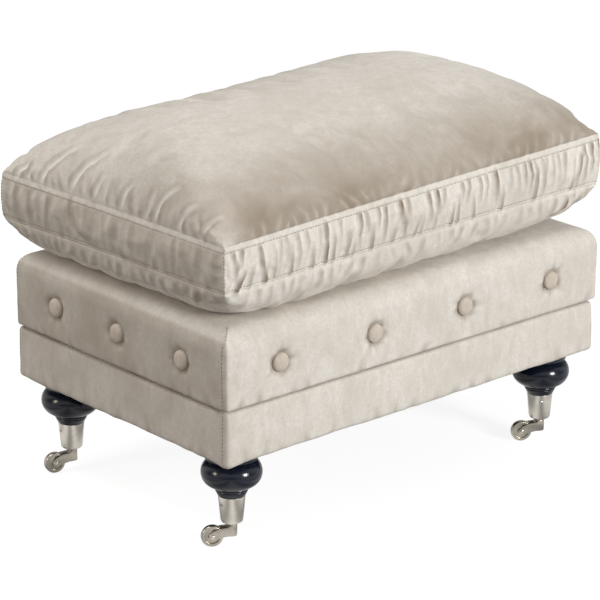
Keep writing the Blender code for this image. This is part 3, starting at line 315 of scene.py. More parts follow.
@dataclass(frozen=True)
class Timber(Finish):
    """Planed wood with its grain along one axis, pale with darker late growth; plywood adds its plies."""

    stretch: tuple[float, float, float] = (0.05, 1.0, 1.0)
    ring_mm: float = 4.0
    ply_mm: float = 0.0

    def material(self) -> bpy.types.Material:
        """Builds the wood."""
        material, tree, shader, place = self.start()
        lay = add_node(tree, "ShaderNodeMapping", {"Vector": place, "Scale": self.stretch})
        uneven = {"Vector": lay, "Scale": 1 / (self.ring_mm * MM), "Detail": 4.0, "Distortion": 0.8}
        rings = add_node(tree, "ShaderNodeTexNoise", uneven)
        growth = add_node(tree, "ShaderNodeMapRange", {"Value": rings, "From Min": 0.38, "From Max": 0.68})
        colour = self.blend(tree, growth, linear(self.colour), linear(self.shade))
        if self.ply_mm:
            plies = {"Vector": place, "Scale": 1 / (20 * self.ply_mm * MM), "Distortion": 0.0}
            waves = add_node(tree, "ShaderNodeTexWave", plies, bands_direction="Z")
            colour = self.blend(tree, waves.outputs[1], colour, linear(self.shade))
        bump = add_node(tree, "ShaderNodeBump", {"Height": rings, "Strength": 0.25, "Distance": 0.0002})
        set_inputs(shader, {"Base Color": colour, "Normal": bump})
        return material


@dataclass(frozen=True)
class Woven(Finish):
    """Plain-woven cloth or tape: two crossed sets of threads, drawn a little coarser than real to show."""

    thread_mm: float = 1.0

    def material(self) -> bpy.types.Material:
        """Builds the weave."""
        material, tree, shader, place = self.start()
        threads = {"Vector": place, "Scale": 1 / (20 * self.thread_mm * MM) * pi / 1.57, "Distortion": 0.6}
        waves = [add_node(tree, "ShaderNodeTexWave", threads, bands_direction=way) for way in ("X", "Y", "Z")]
        sets = [wave.outputs[1] for wave in waves]
        crossed = add_node(tree, "ShaderNodeMath", {0: sets[0], 1: sets[1]}, operation="MULTIPLY")
        crossed = add_node(tree, "ShaderNodeMath", {0: crossed, 1: sets[2]}, operation="ADD")
        slub = add_node(tree, "ShaderNodeTexNoise", {"Vector": place, "Scale": 70.0, "Detail": 3.0})
        half = add_node(tree, "ShaderNodeMath", {0: crossed, 1: 0.4}, operation="MULTIPLY")
        colour = self.blend(tree, half, linear(self.shade), linear(self.colour))
        colour = self.blend(tree, slub, colour, linear(self.shade))
        bump = add_node(tree, "ShaderNodeBump", {"Height": crossed, "Strength": 0.4, "Distance": 0.0003})
        set_inputs(shader, {"Base Color": colour, "Normal": bump, "Sheen Weight": 0.15})
        return material


@dataclass(frozen=True)
class Fibre(Finish):
    """Pressed or spun fibre, such as felt, nonwoven cloth or thread: no weave, only a tangle of fibres."""

    fibre_mm: float = 0.8
    relief: float = 0.5

    def material(self) -> bpy.types.Material:
        """Builds the fibres."""
        material, tree, shader, place = self.start()
        tangle = {"Detail": 6.0, "Roughness": 0.7, "Distortion": 1.5}
        size = {"Vector": place, "Scale": 1 / (self.fibre_mm * MM)}
        fibres = add_node(tree, "ShaderNodeTexNoise", {**size, **tangle})
        spots = add_node(tree, "ShaderNodeMapRange", {"Value": fibres, "From Min": 0.35, "From Max": 0.68})
        colour = self.blend(tree, spots, linear(self.shade), linear(self.colour))
        relief = {"Height": fibres, "Strength": self.relief, "Distance": 0.0005}
        set_inputs(shader, {"Base Color": colour, "Normal": add_node(tree, "ShaderNodeBump", relief)})
        return material


class Palette:
    """Every finish of the ottoman, made once."""

    def __init__(self) -> None:
        """Makes the materials."""
        # A champagne polyester velvet with a short pile; it is palest where the pile faces the light
        self.velvet = Velvet("champagne_velvet", "#ddd8d0", "#bfb6aa", 0.88).material()
        # The same cloth stretched over the buttons' shells, which opens its pile a little
        self.seam_velvet = Velvet("velvet_of_the_buttons", "#d0c7ba", "#b3a797", 0.88, patch_mm=30).material()
        # Spun polyester upholstery thread, a shade darker than the cloth
        self.thread = Fibre("upholstery_thread", "#7f7567", "#5f574b", 0.7, fibre_mm=0.3).material()
        # Beech with sprayed blue-black gloss lacquer
        self.lacquer = Lacquer("blue_black_lacquer", "#0c111d", "#121828", 0.15).material()
        # Satin nickel plate on turned steel
        self.nickel = Metal("satin_nickel", "#d2ccc1", "#b0a99d", 0.20, 1.0).material()
        # The same plate, darker, on the castor's turning and rolling parts
        even = (1.0, 1.0, 1.0)
        self.worn_nickel = Metal("worn_nickel", "#b9b2a6", "#8a8378", 0.27, 1.0, stretch=even).material()
        # Bright zinc plate on rolled strip
        self.zinc = Metal("zinc_plate", "#b4b6b8", "#8d9093", 0.34, 1.0, stretch=(0.1, 1.0, 1.0)).material()
        # Planed pine, grain along the rail
        short = (1.0, 0.05, 1.0)
        self.pine_long = Timber("planed_pine_long", PINE, PINE_LATE, 0.6).material()
        self.pine_short = Timber("planed_pine_short", PINE, PINE_LATE, 0.6, stretch=short).material()
        # Birch plywood with plies of about 1.5 mm
        self.birch = Timber("birch_plywood", "#d9bd91", "#b08d5c", 0.55, ring_mm=9.0, ply_mm=1.5).material()
        # Natural cotton calico with a visible plain weave
        self.calico = Woven("cotton_calico", "#cfc4b0", "#a4977f", 0.9).material()
        # Woven polyester zip tape, dyed to the velvet
        self.tape = Woven("zip_tape", "#c3b8a5", "#9c917e", 0.8, thread_mm=0.6).material()
        # Spun-bonded black polypropylene
        spun = Fibre("spun_bonded_cloth", "#1b1b1c", "#0d0d0d", 0.85, fibre_mm=1.0, relief=0.3)
        self.dust_cloth = spun.material()
        # Pressed grey wool felt
        self.felt = Fibre("wool_felt", "#6c6a67", "#4b4947", 0.95).material()
        # Moulded nylon zip teeth, slightly glossy
        self.nylon = Fibre("moulded_nylon", "#b5aa97", "#a3987f", 0.35, fibre_mm=2.0, relief=0.05).material()


# Forms and pieces


class Form:
    """Points and faces of one piece while it is shaped.

    Attributes:
        points: Array of points, one row each.
        faces: Corner numbers of each face, anticlockwise seen from outside.
        marks: Values for each point that its material reads, by attribute name.
    """

    def __init__(self) -> None:
        """Starts with nothing."""
        self.points = np.zeros((0, 3))
        self.marks: dict[str, np.ndarray] = {}
        self.faces: list[tuple[int, ...]] = []
        self.quads, self.counted = np.zeros((0, 4), int), 0

    def add(self, points: Any) -> np.ndarray:
        """Adds points.

        Args:
            points: Array or list of points.

        Returns:
            Their numbers, in the shape of the array that was given.
        """
        array = np.asarray([tuple(p) for p in points] if isinstance(points, list) else points, float)
        numbers = len(self.points) + np.arange(array[..., 0].size).reshape(array.shape[:-1])
        self.points = np.vstack([self.points, array.reshape(-1, 3)])
        return numbers

    def skin(self, grid: np.ndarray, ring: bool = False, flip: bool = False, closed: bool = False) -> None:
        """Adds the faces between the rows of a grid of point numbers.

        Args:
            grid: Point numbers, one row for each loop.
            ring: Whether each row closes on itself.
            flip: Whether the faces look the other way.
            closed: Whether the last row joins the first.
        """
        rows, columns = grid.shape
        for r in range(rows if closed else rows - 1):
            low, high = grid[r], grid[(r + 1) % rows]
            for k in range(columns if ring else columns - 1):
                n = (k + 1) % columns
                face = (int(low[k]), int(low[n]), int(high[n]), int(high[k]))
                self.faces.append(face[::-1] if flip else face)

    def loft(self, loops: Sequence[Sequence[Any]], closed: bool = False) -> np.ndarray:
        """Adds loops of points and the faces between them.

        Args:
            loops: The points of each loop, anticlockwise seen from the last loop's side.
            closed: Whether the last loop joins the first.

        Returns:
            The point numbers, one row for each loop.
        """
        grid = np.array([self.add(loop) for loop in loops])
        self.skin(grid, ring=True, closed=closed)
        return grid

    def close(self, loop: Sequence[int]) -> None:
        """Closes a loop of point numbers with one face."""
        self.faces.append(tuple(int(k) for k in loop))

    def fan(self, pole: Any, loop: Sequence[int], flip: bool = False) -> None:
        """Closes a loop with triangles to a new point.

        Args:
            pole: The new point.
            loop: Numbers of the loop's points.
            flip: Whether the faces look the other way.
        """
        middle = int(self.add([pole])[0])
        for k, number in enumerate(loop):
            face = (int(number), int(loop[(k + 1) % len(loop)]), middle)
            self.faces.append(face[::-1] if flip else face)

    def turn(self, profile: Sequence[tuple[float, float]], sides: int, place: Matrix | None = None) -> None:
        """Adds a turned solid from a profile that starts and ends on the axis.

        Args:
            profile: (radius, height) points, going round the section anticlockwise.
            sides: Number of sides.
            place: Where the axis stands, +Z of the place.
        """
        place = place or Matrix.Identity(4)
        angles = [2 * pi * k / sides for k in range(sides)]
        rings = []
        for radius, height in profile:
            if radius > 1e-7:
                rings.append([place @ Vector((radius * cos(a), radius * sin(a), height)) for a in angles])
        grid = self.loft(rings, closed=profile[0][0] > 1e-7)
        if profile[0][0] <= 1e-7:
            self.fan(place @ Vector((0, 0, profile[0][1])), grid[0], flip=True)
            self.fan(place @ Vector((0, 0, profile[-1][1])), grid[-1])

    def block(self, low: Sequence[float], high: Sequence[float], place: Matrix | None = None) -> None:
        """Adds a box.

        Args:
            low: Its lowest corner.
            high: Its highest corner.
            place: Matrix that moves it.
        """
        place = place or Matrix.Identity(4)
        (x, y, z), (X, Y, Z) = low, high
        loops = [[(x, y, h), (X, y, h), (X, Y, h), (x, Y, h)] for h in (z, Z)]
        grid = self.loft([[place @ Vector(p) for p in loop] for loop in loops])
        self.close(grid[0][::-1])
        self.close(grid[1])

    def normals(self) -> np.ndarray:
        """Returns each point's outward direction."""
        if self.counted != len(self.faces):
            self.quads = np.array([f if len(f) == 4 else (*f, f[2]) for f in self.faces if len(f) <= 4])
            self.counted = len(self.faces)
        quads, p = self.quads, self.points
        out = np.cross(p[quads[:, 2]] - p[quads[:, 0]], p[quads[:, 3]] - p[quads[:, 1]])
        total = np.zeros_like(p)
        for corner in range(4):
            np.add.at(total, quads[:, corner], out)
        return total / np.maximum(np.linalg.norm(total, axis=1, keepdims=True), 1e-12)

    def fold(
        self, path: np.ndarray, width: float, depth: float, normals: np.ndarray, taper: float = 0.8
    ) -> None:
        """Presses a valley with puffed sides along a path, deepest at its start.

        Args:
            path: Points of the path, on the surface or within 12 mm of it.
            width: Half width of the valley.
            depth: Depth at the start; a negative depth raises a ridge.
            normals: Outward direction of every point.
            taper: How fast it runs out.
        """
        reach = 3.2 * width + 0.012
        low, high = path.min(0) - reach, path.max(0) + reach
        near = np.where(((self.points > low) & (self.points < high)).all(1))[0]
        if not len(near):
            return
        p, out = self.points[near], normals[near]
        best, share = np.full(len(near), 1e9), np.zeros(len(near))
        for k, (a, b) in enumerate(zip(path, path[1:])):
            run = b - a
            t = np.clip(((p - a) @ run) / max(run @ run, 1e-12), 0, 1)
            offset = p - a - t[:, None] * run
            lift = (offset * out).sum(1)
            away = np.linalg.norm(offset - lift[:, None] * out, axis=1)
            away += 10 * np.maximum(np.abs(lift) - 0.012, 0)
            closer = away < best
            best[closer], share[closer] = away[closer], ((k + t) / (len(path) - 1))[closer]
        x = best / width
        shape = np.exp(-1.2 * x**2) - 0.42 * np.exp(-((x - 1.75) ** 2) / 0.5)
        fade = (1 - share) ** taper * np.minimum(1, 8 * share + 0.35)
        self.points[near] -= out * (depth * shape * fade)[:, None]

    def divided(self) -> "Form":
        """Returns a copy with every face divided in four and smoothed; its first points are this form's."""
        mesh = subdivided(self, "divided")
        out, flat = Form(), np.empty(len(mesh.vertices) * 3)
        mesh.vertices.foreach_get("co", flat)
        out.points = flat.reshape(-1, 3)
        out.faces = [tuple(f.vertices) for f in mesh.polygons]
        bpy.data.meshes.remove(mesh)
        return out

    def wave(self, amount: float, size: float, seed: int, where: Any = 1.0) -> None:
        """Adds a soft, even unevenness of stuffed cloth.

        Args:
            amount: Height of the waves.
            size: Distance between them.
            seed: Number that fixes the pattern.
            where: Factor for each point.
        """
        source = random.Random(seed)
        total = np.zeros(len(self.points))
        for _ in range(9):
            way = np.array([source.gauss(0, 1) for _ in range(3)])
            way *= 2 * pi / (size * source.uniform(0.7, 1.5)) / np.linalg.norm(way)
            total += np.sin(self.points @ way + source.uniform(0, 2 * pi)) / 3
        self.points += self.normals() * (amount * total * where)[:, None]

    def move(self, matrix: Matrix) -> None:
        """Moves every point by a matrix."""
        array = np.array(matrix)
        self.points = self.points @ array[:3, :3].T + array[:3, 3]

    def mesh(self, name: str, smooth_angle: float = 180.0) -> bpy.types.Mesh:
        """Makes the mesh, with its faces pointing out.

        Args:
            name: The mesh's name.
            smooth_angle: Angle in degrees past which an edge is drawn sharp.

        Returns:
            The mesh.
        """
        mesh = bpy.data.meshes.new(name)
        mesh.from_pydata([tuple(p) for p in self.points], [], self.faces)
        with edited(mesh) as bm:
            bmesh.ops.recalc_face_normals(bm, faces=bm.faces)
        for label, values in self.marks.items():
            mark = mesh.attributes.new(label, "FLOAT", "POINT")
            mark.data.foreach_set("value", np.asarray(values, np.float32))
        mesh.shade_smooth()
        mesh.set_sharp_from_angle(angle=radians(smooth_angle))
        return mesh


@contextmanager
def edited(mesh: bpy.types.Mesh) -> Iterator[bmesh.types.BMesh]:
    """Opens a mesh for editing, and writes it back.

    Args:
        mesh: The mesh.

    Yields:
        The mesh while it is edited.
    """
    bm = bmesh.new()
    bm.from_mesh(mesh)
    yield bm
    bm.to_mesh(mesh)
    bm.free()


def link(name: str, mesh: bpy.types.Mesh, material: bpy.types.Material | None = None) -> bpy.types.Object:
    """Puts a mesh into the scene as an object.

    Args:
        name: The object's name.
        mesh: The mesh.
        material: Its material, or None to keep what it has.

    Returns:
        The object.
    """
    if material is not None:
        mesh.materials.clear()
        mesh.materials.append(material)
    obj = bpy.data.objects.new(name, mesh)
    bpy.context.scene.collection.objects.link(obj)
    return obj


def piece(
    name: str,
    mesh: bpy.types.Mesh,
    material: bpy.types.Material | None,
    body: str,
    nodes: Sequence[str] = (),
) -> bpy.types.Object:
    """Makes one finished piece that rides on a body.

    Args:
        name: The piece's name.
        mesh: Its mesh, in place.
        material: Its material, or None to keep what the mesh has.
        body: The body that it moves with.
        nodes: The solids that it stands for.

    Returns:
        The piece.
    """
    obj = link(name, mesh, material)
    if nodes:
        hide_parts(*nodes)
    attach(obj, str(getattr(body, "value", body)))
    LOG.info("%s: %d faces, on %s", name, len(mesh.polygons), getattr(body, "value", body))
    return obj


def evaluated_mesh(obj: bpy.types.Object, name: str) -> bpy.types.Mesh:
    """Turns an object with its modifiers into a plain mesh, and removes the object.

    Args:
        obj: The object.
        name: Name of the new mesh.

    Returns:
        The mesh.
    """
    mesh = bpy.data.meshes.new_from_object(obj.evaluated_get(bpy.context.evaluated_depsgraph_get()))
    mesh.name = name
    bpy.data.objects.remove(obj)
    return mesh


def subdivided(form: Form, name: str, levels: int = 1, cap: bool = False) -> bpy.types.Mesh:
    """Smooths a form by subdivision.

    Args:
        form: The form.
        name: Name of the mesh.
        levels: How often each face is divided.
        cap: Whether its open edges, out of sight, are closed with one flat face each.

    Returns:
        The smoothed mesh.
    """
    obj = link(name + "_rough", form.mesh(name + "_rough"))
    modifier = obj.modifiers.new("smooth", "SUBSURF")
    modifier.levels = modifier.render_levels = levels
    mesh = evaluated_mesh(obj, name)
    if cap:
        with edited(mesh) as bm:
            bmesh.ops.holes_fill(bm, edges=bm.edges, sides=0)
            bmesh.ops.recalc_face_normals(bm, faces=bm.faces)
    mesh.shade_smooth()
    return mesh


def rounded(points: Sequence[tuple[float, float, float]], steps: int = 4) -> list[tuple[float, float]]:
    """Rounds the corners of a turned profile.

    Args:
        points: (radius, height, rounding) of each corner.
        steps: Steps of each rounding.

    Returns:
        The (radius, height) points.
    """
    out = []
    for k, (x, z, rounding) in enumerate(points):
        if rounding <= 0 or k in (0, len(points) - 1):
            out.append((x, z))
            continue
        corner = np.array((x, z))
        before, after = np.array(points[k - 1][:2]), np.array(points[k + 1][:2])
        start = corner + (before - corner) * min(rounding / np.linalg.norm(before - corner), 0.48)
        end = corner + (after - corner) * min(rounding / np.linalg.norm(after - corner), 0.48)
        for step in range(steps + 1):
            s = step / steps
            out.append(tuple((1 - s) ** 2 * start + 2 * s * (1 - s) * corner + s**2 * end))
    return out


def facing(point: Any, direction: Any) -> Matrix:
    """Returns a place whose +Z looks in a direction."""
    return Matrix.Translation(Vector(point)) @ Vector(direction).to_track_quat("Z", "Y").to_matrix().to_4x4()


# Geometry Nodes for what repeats


class NodeRepeat:
    """A Geometry Nodes tree that lays one shape on points or along a path, as a plain mesh."""

    def __init__(self, name: str, inputs: Sequence[tuple[str, str]]) -> None:
        """Starts the tree.

        Args:
            name: The tree's name.
            inputs: Name and socket type of each input after the geometry.
        """
        self.tree = bpy.data.node_groups.new(name, "GeometryNodeTree")
        face = self.tree.interface
        face.new_socket("Geometry", in_out="INPUT", socket_type="NodeSocketGeometry")
        for label, kind in inputs:
            face.new_socket(label, in_out="INPUT", socket_type=kind)
        face.new_socket("Geometry", in_out="OUTPUT", socket_type="NodeSocketGeometry")
        self.given = self.tree.nodes.new("NodeGroupInput").outputs
        self.out = self.tree.nodes.new("NodeGroupOutput")

    def close(self, inputs: dict[str | int, Any]) -> None:
        """Ends the tree: the shape on each point, then Realize Instances and Set Material.

        Args:
            inputs: Points, shape and rotation.
        """
        laid = add_node(self.tree, "GeometryNodeInstanceOnPoints", inputs)
        real = add_node(self.tree, "GeometryNodeRealizeInstances", {"Geometry": laid})
        painted = {"Geometry": real, "Material": self.given["Material"]}
        set_inputs(self.out, {0: add_node(self.tree, "GeometryNodeSetMaterial", painted)})

    def run(self, name: str, source: bpy.types.Mesh, values: dict[str, Any]) -> bpy.types.Mesh:
        """Evaluates the tree on a mesh.

        Args:
            name: Name of the result.
            source: Mesh that holds the points or the path.
            values: Value of each input by its name.

        Returns:
            The result as a plain mesh.
        """
        obj = link(name + "_source", source)
        modifier = obj.modifiers.new(name, "NODES")
        modifier.node_group = self.tree
        for item in self.tree.interface.items_tree:
            if item.in_out == "INPUT" and item.name in values:
                modifier[item.identifier] = values[item.name]
        mesh = evaluated_mesh(obj, name)
        mesh.shade_smooth()
        return mesh


class Stitches(NodeRepeat):
    """Stitches of spun thread along a sewn line."""

    def __init__(self) -> None:
        """Builds the tree: the line is resampled at the stitch pitch and carries one short capsule a step."""
        sockets = [(label, "NodeSocketFloat") for label in ("Pitch", "Length", "Thread Radius")]
        super().__init__("stitches", sockets + [("Material", "NodeSocketMaterial")])
        tree, given = self.tree, self.given
        line = add_node(tree, "GeometryNodeMeshToCurve", {"Mesh": given["Geometry"]})
        paced = {"Curve": line, "Length": given["Pitch"]}
        steps = add_node(tree, "GeometryNodeResampleCurve", paced, mode="LENGTH")
        half = add_node(tree, "ShaderNodeMath", {0: given["Length"], 1: 0.5}, operation="MULTIPLY")
        thick = given["Thread Radius"]
        size = add_node(tree, "ShaderNodeCombineXYZ", {0: thick, 1: thick, 2: half})
        bead = add_node(tree, "GeometryNodeMeshUVSphere", {"Segments": 8, "Rings": 5, "Radius": 1.0})
        thread = add_node(tree, "GeometryNodeTransform", {"Geometry": bead, "Scale": size})
        tangent = add_node(tree, "GeometryNodeInputTangent")
        turn = add_node(tree, "FunctionNodeAlignRotationToVector", {"Vector": tangent}, axis="Z")
        self.close({"Points": steps, "Instance": thread, "Rotation": turn})

    def sew(
        self,
        name: str,
        paths: Sequence[np.ndarray],
        material: bpy.types.Material,
        body: Body,
        stitch: tuple[float, float] = CORNER_STITCH,
    ) -> None:
        """Sews stitches along paths, as one piece.

        Args:
            name: Name of the piece.
            paths: The lines, each an array of points.
            material: The thread.
            body: The body that they move with.
            stitch: Distance from stitch to stitch, and length of one.
        """
        points, edges = [], []
        for path in paths:
            edges += [(len(points) + k, len(points) + k + 1) for k in range(len(path) - 1)]
            points += [tuple(p) for p in path]
        source = bpy.data.meshes.new(name + "_line")
        source.from_pydata(points, edges, [])
        pitch, length = stitch
        values = {"Pitch": pitch, "Length": length, "Thread Radius": THREAD, "Material": material}
        piece(name, self.run(name, source, values), None, body)


class Repeats(NodeRepeat):
    """One shape repeated on points that say where it faces and how it lies."""

    def __init__(self) -> None:
        """Builds the tree: an instance on each point, turned to its two directions."""
        super().__init__("repeats", [("Shape", "NodeSocketObject"), ("Material", "NodeSocketMaterial")])
        tree, given = self.tree, self.given
        shape = add_node(tree, "GeometryNodeObjectInfo", {"Object": given["Shape"]})
        turn = None
        for name, axis, pivot in (("facing", "Z", "AUTO"), ("lying", "X", "Z")):
            way = add_node(tree, "GeometryNodeInputNamedAttribute", {"Name": name}, data_type="FLOAT_VECTOR")
            inputs = {"Vector": way} if turn is None else {"Vector": way, "Rotation": turn}
            turn = add_node(tree, "FunctionNodeAlignRotationToVector", inputs, axis=axis, pivot_axis=pivot)
        self.close({"Points": given["Geometry"], "Instance": shape.outputs["Geometry"], "Rotation": turn})

    def lay(
        self,
        name: str,
        shape: bpy.types.Mesh,
        places: Sequence[tuple[Any, Any, Any]],
        material: bpy.types.Material,
        body: Body,
        slot: Slot,
        nodes: Sequence[str] = (),
    ) -> None:
        """Repeats a shape, as one piece.

        Args:
            name: Name of the piece.
            shape: The shape about its own origin, facing +Z.
            places: Point, facing direction and lying direction of each.
            material: The material.
            body: The body that it moves with.
            slot: The record's slot of its finish; not used.
            nodes: The solids that it stands for.
        """
        source = bpy.data.meshes.new(name + "_points")
        source.from_pydata([tuple(p[0]) for p in places], [], [])
        for label, column in (("facing", 1), ("lying", 2)):
            values = source.attributes.new(label, "FLOAT_VECTOR", "POINT")
            values.data.foreach_set("vector", [c for p in places for c in p[column]])
        pattern = link(name + "_shape", shape)
        mesh = self.run(name, source, {"Shape": pattern, "Material": material})
        bpy.data.objects.remove(pattern)
        piece(name, mesh, None, body, nodes)


@dataclass
class Workshop:
    """What every sub-assembly is made with."""

    finishes: Palette
    stitches: Stitches
    repeats: Repeats


def screw_head(radius: float, dome: float, slot_width: float) -> bpy.types.Mesh:
    """Makes a cross-head screw's head, facing +Z from a flat back at z 0.

    Args:
        radius: Radius of the head.
        dome: Height of the dome.
        slot_width: Width of the cross.

    Returns:
        The mesh.
    """
    form, sides, rings = Form(), 32, 9
    angles = [2 * pi * k / sides for k in range(sides)]
    loops = [[(radius * cos(a), radius * sin(a), -dome) for a in angles]]
    for ring in range(rings):
        share = 1 - ring / rings
        loop = []
        for angle in angles:
            x, y = radius * share * cos(angle), radius * share * sin(angle)
            in_cross = min(abs(x), abs(y)) < slot_width / 2 and share < 0.68
            height = dome * (1 - share**2.4) - (0.55 * dome + 0.0004 if in_cross else 0)
            loop.append((x, y, height))
        loops.append(loop)
    grid = form.loft(loops)
    form.fan((0, 0, 0.45 * dome - 0.0004), grid[-1])
    form.close(grid[0][::-1])
    return form.mesh("screw_head", 40)


# Castors and feet


@dataclass(frozen=True)
class Corner:
    """One foot's place, and how its castor and its cup are turned, in degrees."""

    name: str
    x: float
    y: float
    swivel: float
    cup: float


CORNERS = (
    Corner("front_left", -0.2625, -0.1595, 147.0, 178.0),
    Corner("front_right", 0.2625, -0.1595, 150.0, 232.0),
    Corner("back_left", -0.2625, 0.1595, 164.0, 172.0),
    Corner("back_right", 0.2625, 0.1595, 154.0, 200.0),
)


@dataclass
class Castor:
    """A turned foot with its castor: cup, screws, horn, axle and wheel."""

    workshop: Workshop
    wheel_radius: float = 0.0135
    wheel_width: float = 0.008
    wheel_rim: float = 0.004
    wheel_dish: float = 0.0014
    hub_radius: float = 0.0046
    axle_radius: float = 0.002
    axle_reach: float = 0.0068
    trail: float = 0.0243
    cup_bottom: float = 0.0283
    cup_top: float = 0.0662
    cup_top_radius: float = 0.0168
    cup_low_radius: float = 0.0137
    cup_neck_radius: float = 0.0068
    cup_neck_height: float = 0.0032
    screw_drop: float = 0.0099
    foot_bottom: float = 0.0665
    foot_top: float = 0.1266
    bead_middle: float = 0.07655
    bun_middle: float = 0.0965
    bun_half: float = 0.0177
    foot_neck_radius: float = 0.0196
    bun_core_radius: float = 0.0205
    bun_reach: float = 0.0169
    collar_bottom: float = 0.1145
    collar_radius: float = 0.0330
    sides: int = 72

    def foot_profile(self) -> list[tuple[float, float]]:
        """Returns the turned foot's outline from the peg up to its top ring."""
        bottom, groove, neck = self.foot_bottom, self.bead_middle - 0.00225, self.foot_neck_radius
        lower = [(0, bottom, 0), (0.0171, bottom, 0.0005), (0.0204, groove - 0.001, 0.0012)]
        profile = rounded([*lower, (neck, groove, 0)])
        for angle in range(-75, 76, 15):
            a = radians(angle)
            profile.append((neck + 0.0024 * cos(a), self.bead_middle + 0.0021 * sin(a)))
        for angle in range(-85, 66, 5):
            a = radians(angle)
            out, up = self.bun_reach * cos(a), self.bun_half * sin(a)
            profile.append((self.bun_core_radius + out, self.bun_middle + up))
        collar, top, wide = self.collar_bottom, self.foot_top, self.collar_radius
        upper = [(0.0300, collar, 0), (wide, collar + 0.0012, 0.0010), (wide, top, 0.0004), (0, top, 0)]
        return profile + rounded(upper)

    def cup_profile(self) -> list[tuple[float, float]]:
        """Returns the cup's closed section: neck, cone, wall and open top."""
        b, t = self.cup_bottom, self.cup_top
        neck = b + self.cup_neck_height
        wall = 0.0016
        outline = [
            (0.0034, b, 0),
            (self.cup_neck_radius, b, 0.0006),
            (self.cup_neck_radius + 0.0007, neck - 0.0012, 0.0008),
            (self.cup_low_radius - 0.0012, neck, 0.0014),
            (self.cup_low_radius + 0.0001, neck + 0.0018, 0.0016),
            (self.cup_top_radius, t, 0.0004),
            (self.cup_top_radius - wall, t, 0.0003),
            (self.cup_low_radius - wall, neck + wall, 0.0004),
            (0.0034, neck + wall, 0),
        ]
        return rounded(outline, 5)

    def cup_radius(self, z: float) -> float:
        """Returns the cup's outer radius at a height."""
        low = self.cup_bottom + self.cup_neck_height + 0.0015
        flare = self.cup_top_radius - self.cup_low_radius
        return self.cup_low_radius + flare * (z - low) / (self.cup_top - low)

    def wheel_profile(self) -> list[tuple[float, float]]:
        """Returns the wheel's closed section: a crowned tread, a raised rim, a groove and a dished face."""
        half, dish = self.wheel_width / 2, self.wheel_width / 2 - self.wheel_dish
        rim = self.wheel_radius - self.wheel_rim
        side = [
            (self.axle_radius + 0.0003, half, 0),
            (self.hub_radius, half, 0.0005),
            (self.hub_radius + 0.0005, dish, 0.0006),
            (rim - 0.0010, dish - 0.0003, 0.0006),
            (rim - 0.0002, dish - 0.0005, 0.0003),
            (rim + 0.0001, half, 0.0004),
            (self.wheel_radius - 0.0008, half, 0.0006),
            (self.wheel_radius, half - 0.0012, 0.0007),
        ]
        outline = side + [(r, -h, k) for r, h, k in reversed(side)]
        return [(r, h) for r, h in reversed(rounded(outline, 4))]

    def build(self, corner: Corner) -> None:
        """Builds one foot and its castor.

        Args:
            corner: The corner that it stands at.
        """
        fin, name = self.workshop.finishes, corner.name
        swivel, roller = f"swivel_{name}", f"roller_{name}"
        spot = Matrix.Translation((corner.x, corner.y, 0))
        stand = spot @ Matrix.Rotation(radians(corner.cup), 4, "Z")
        foot, cup, wheel, axle = (Form() for _ in range(4))
        foot.turn(self.foot_profile(), self.sides, stand)
        mesh = foot.mesh("foot", 50)
        piece(f"turned_foot_{name}", mesh, fin.lacquer, Body.BASE, (f"foot_{name}",))
        cup.turn(self.cup_profile(), self.sides, stand)
        mesh = cup.mesh("cup", 40)
        piece(f"castor_cup_{name}", mesh, fin.nickel, Body.BASE, (f"cup_{name}",))

        height = self.cup_top - self.screw_drop
        reach = self.cup_radius(height) + 0.0001
        rotation = stand.to_3x3()
        places = []
        for side in (1, -1):
            out = rotation @ Vector((side, 0, -0.1)).normalized()
            lying = rotation @ Vector((0, 0.75, 0.66))
            places.append((stand @ Vector((side * reach, 0, height)), out, lying))
        head = screw_head(0.0027, 0.0009, 0.0011)
        self.workshop.repeats.lay(f"cup_screws_{name}", head, places, fin.zinc, Body.BASE, Slot.NICKEL)

        turned = spot @ Matrix.Rotation(radians(corner.swivel), 4, "Z")
        middle = Matrix.Translation((self.trail, 0, self.wheel_radius))
        axle_place = turned @ middle @ Matrix.Rotation(pi / 2, 4, "X")
        wheel.turn(self.wheel_profile(), self.sides, axle_place)
        mesh = wheel.mesh("wheel", 40)
        piece(f"castor_wheel_{name}", mesh, fin.worn_nickel, roller, (f"wheel_{name}",))
        a = self.axle_reach
        outline = [
            (0, -a - 0.0009, 0),
            (0.0024, -a - 0.0007, 0.0010),
            (0.0031, -a, 0.0003),
            (self.axle_radius, -a, 0.0001),
            (self.axle_radius, a, 0.0001),
            (0.0031, a, 0.0003),
            (0.0024, a + 0.0007, 0.0010),
            (0, a + 0.0009, 0),
        ]
        axle.turn(rounded(outline), 32, axle_place)
        mesh = axle.mesh("axle", 40)
        piece(f"castor_axle_{name}", mesh, fin.nickel, swivel, (f"axle_{name}",))
        horn = softened_copy(f"horn_{name}", 0.0006)
        piece(f"castor_horn_{name}", horn, fin.worn_nickel, swivel, (f"horn_{name}",))


def softened_copy(node: str, width: float) -> bpy.types.Mesh:
    """Copies a solid with its points merged and its edges rounded.

    Args:
        node: The solid's name.
        width: Width of the rounding.

    Returns:
        The new mesh.
    """
    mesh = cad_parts[node].data.copy()
    with edited(mesh) as bm:
        bmesh.ops.remove_doubles(bm, verts=bm.verts, dist=1e-6)
        bmesh.ops.dissolve_limit(bm, angle_limit=radians(1), verts=bm.verts, edges=bm.edges)
    obj = link(node + "_copy", mesh)
    bevel = obj.modifiers.new("edges", "BEVEL")
    bevel.width, bevel.segments, bevel.limit_method = width, 2, "ANGLE"
    bevel.angle_limit = radians(32)
    result = evaluated_mesh(obj, node + "_soft")
    result.shade_smooth()
    result.set_sharp_from_angle(angle=radians(50))
    return result


# Upholstered boxes


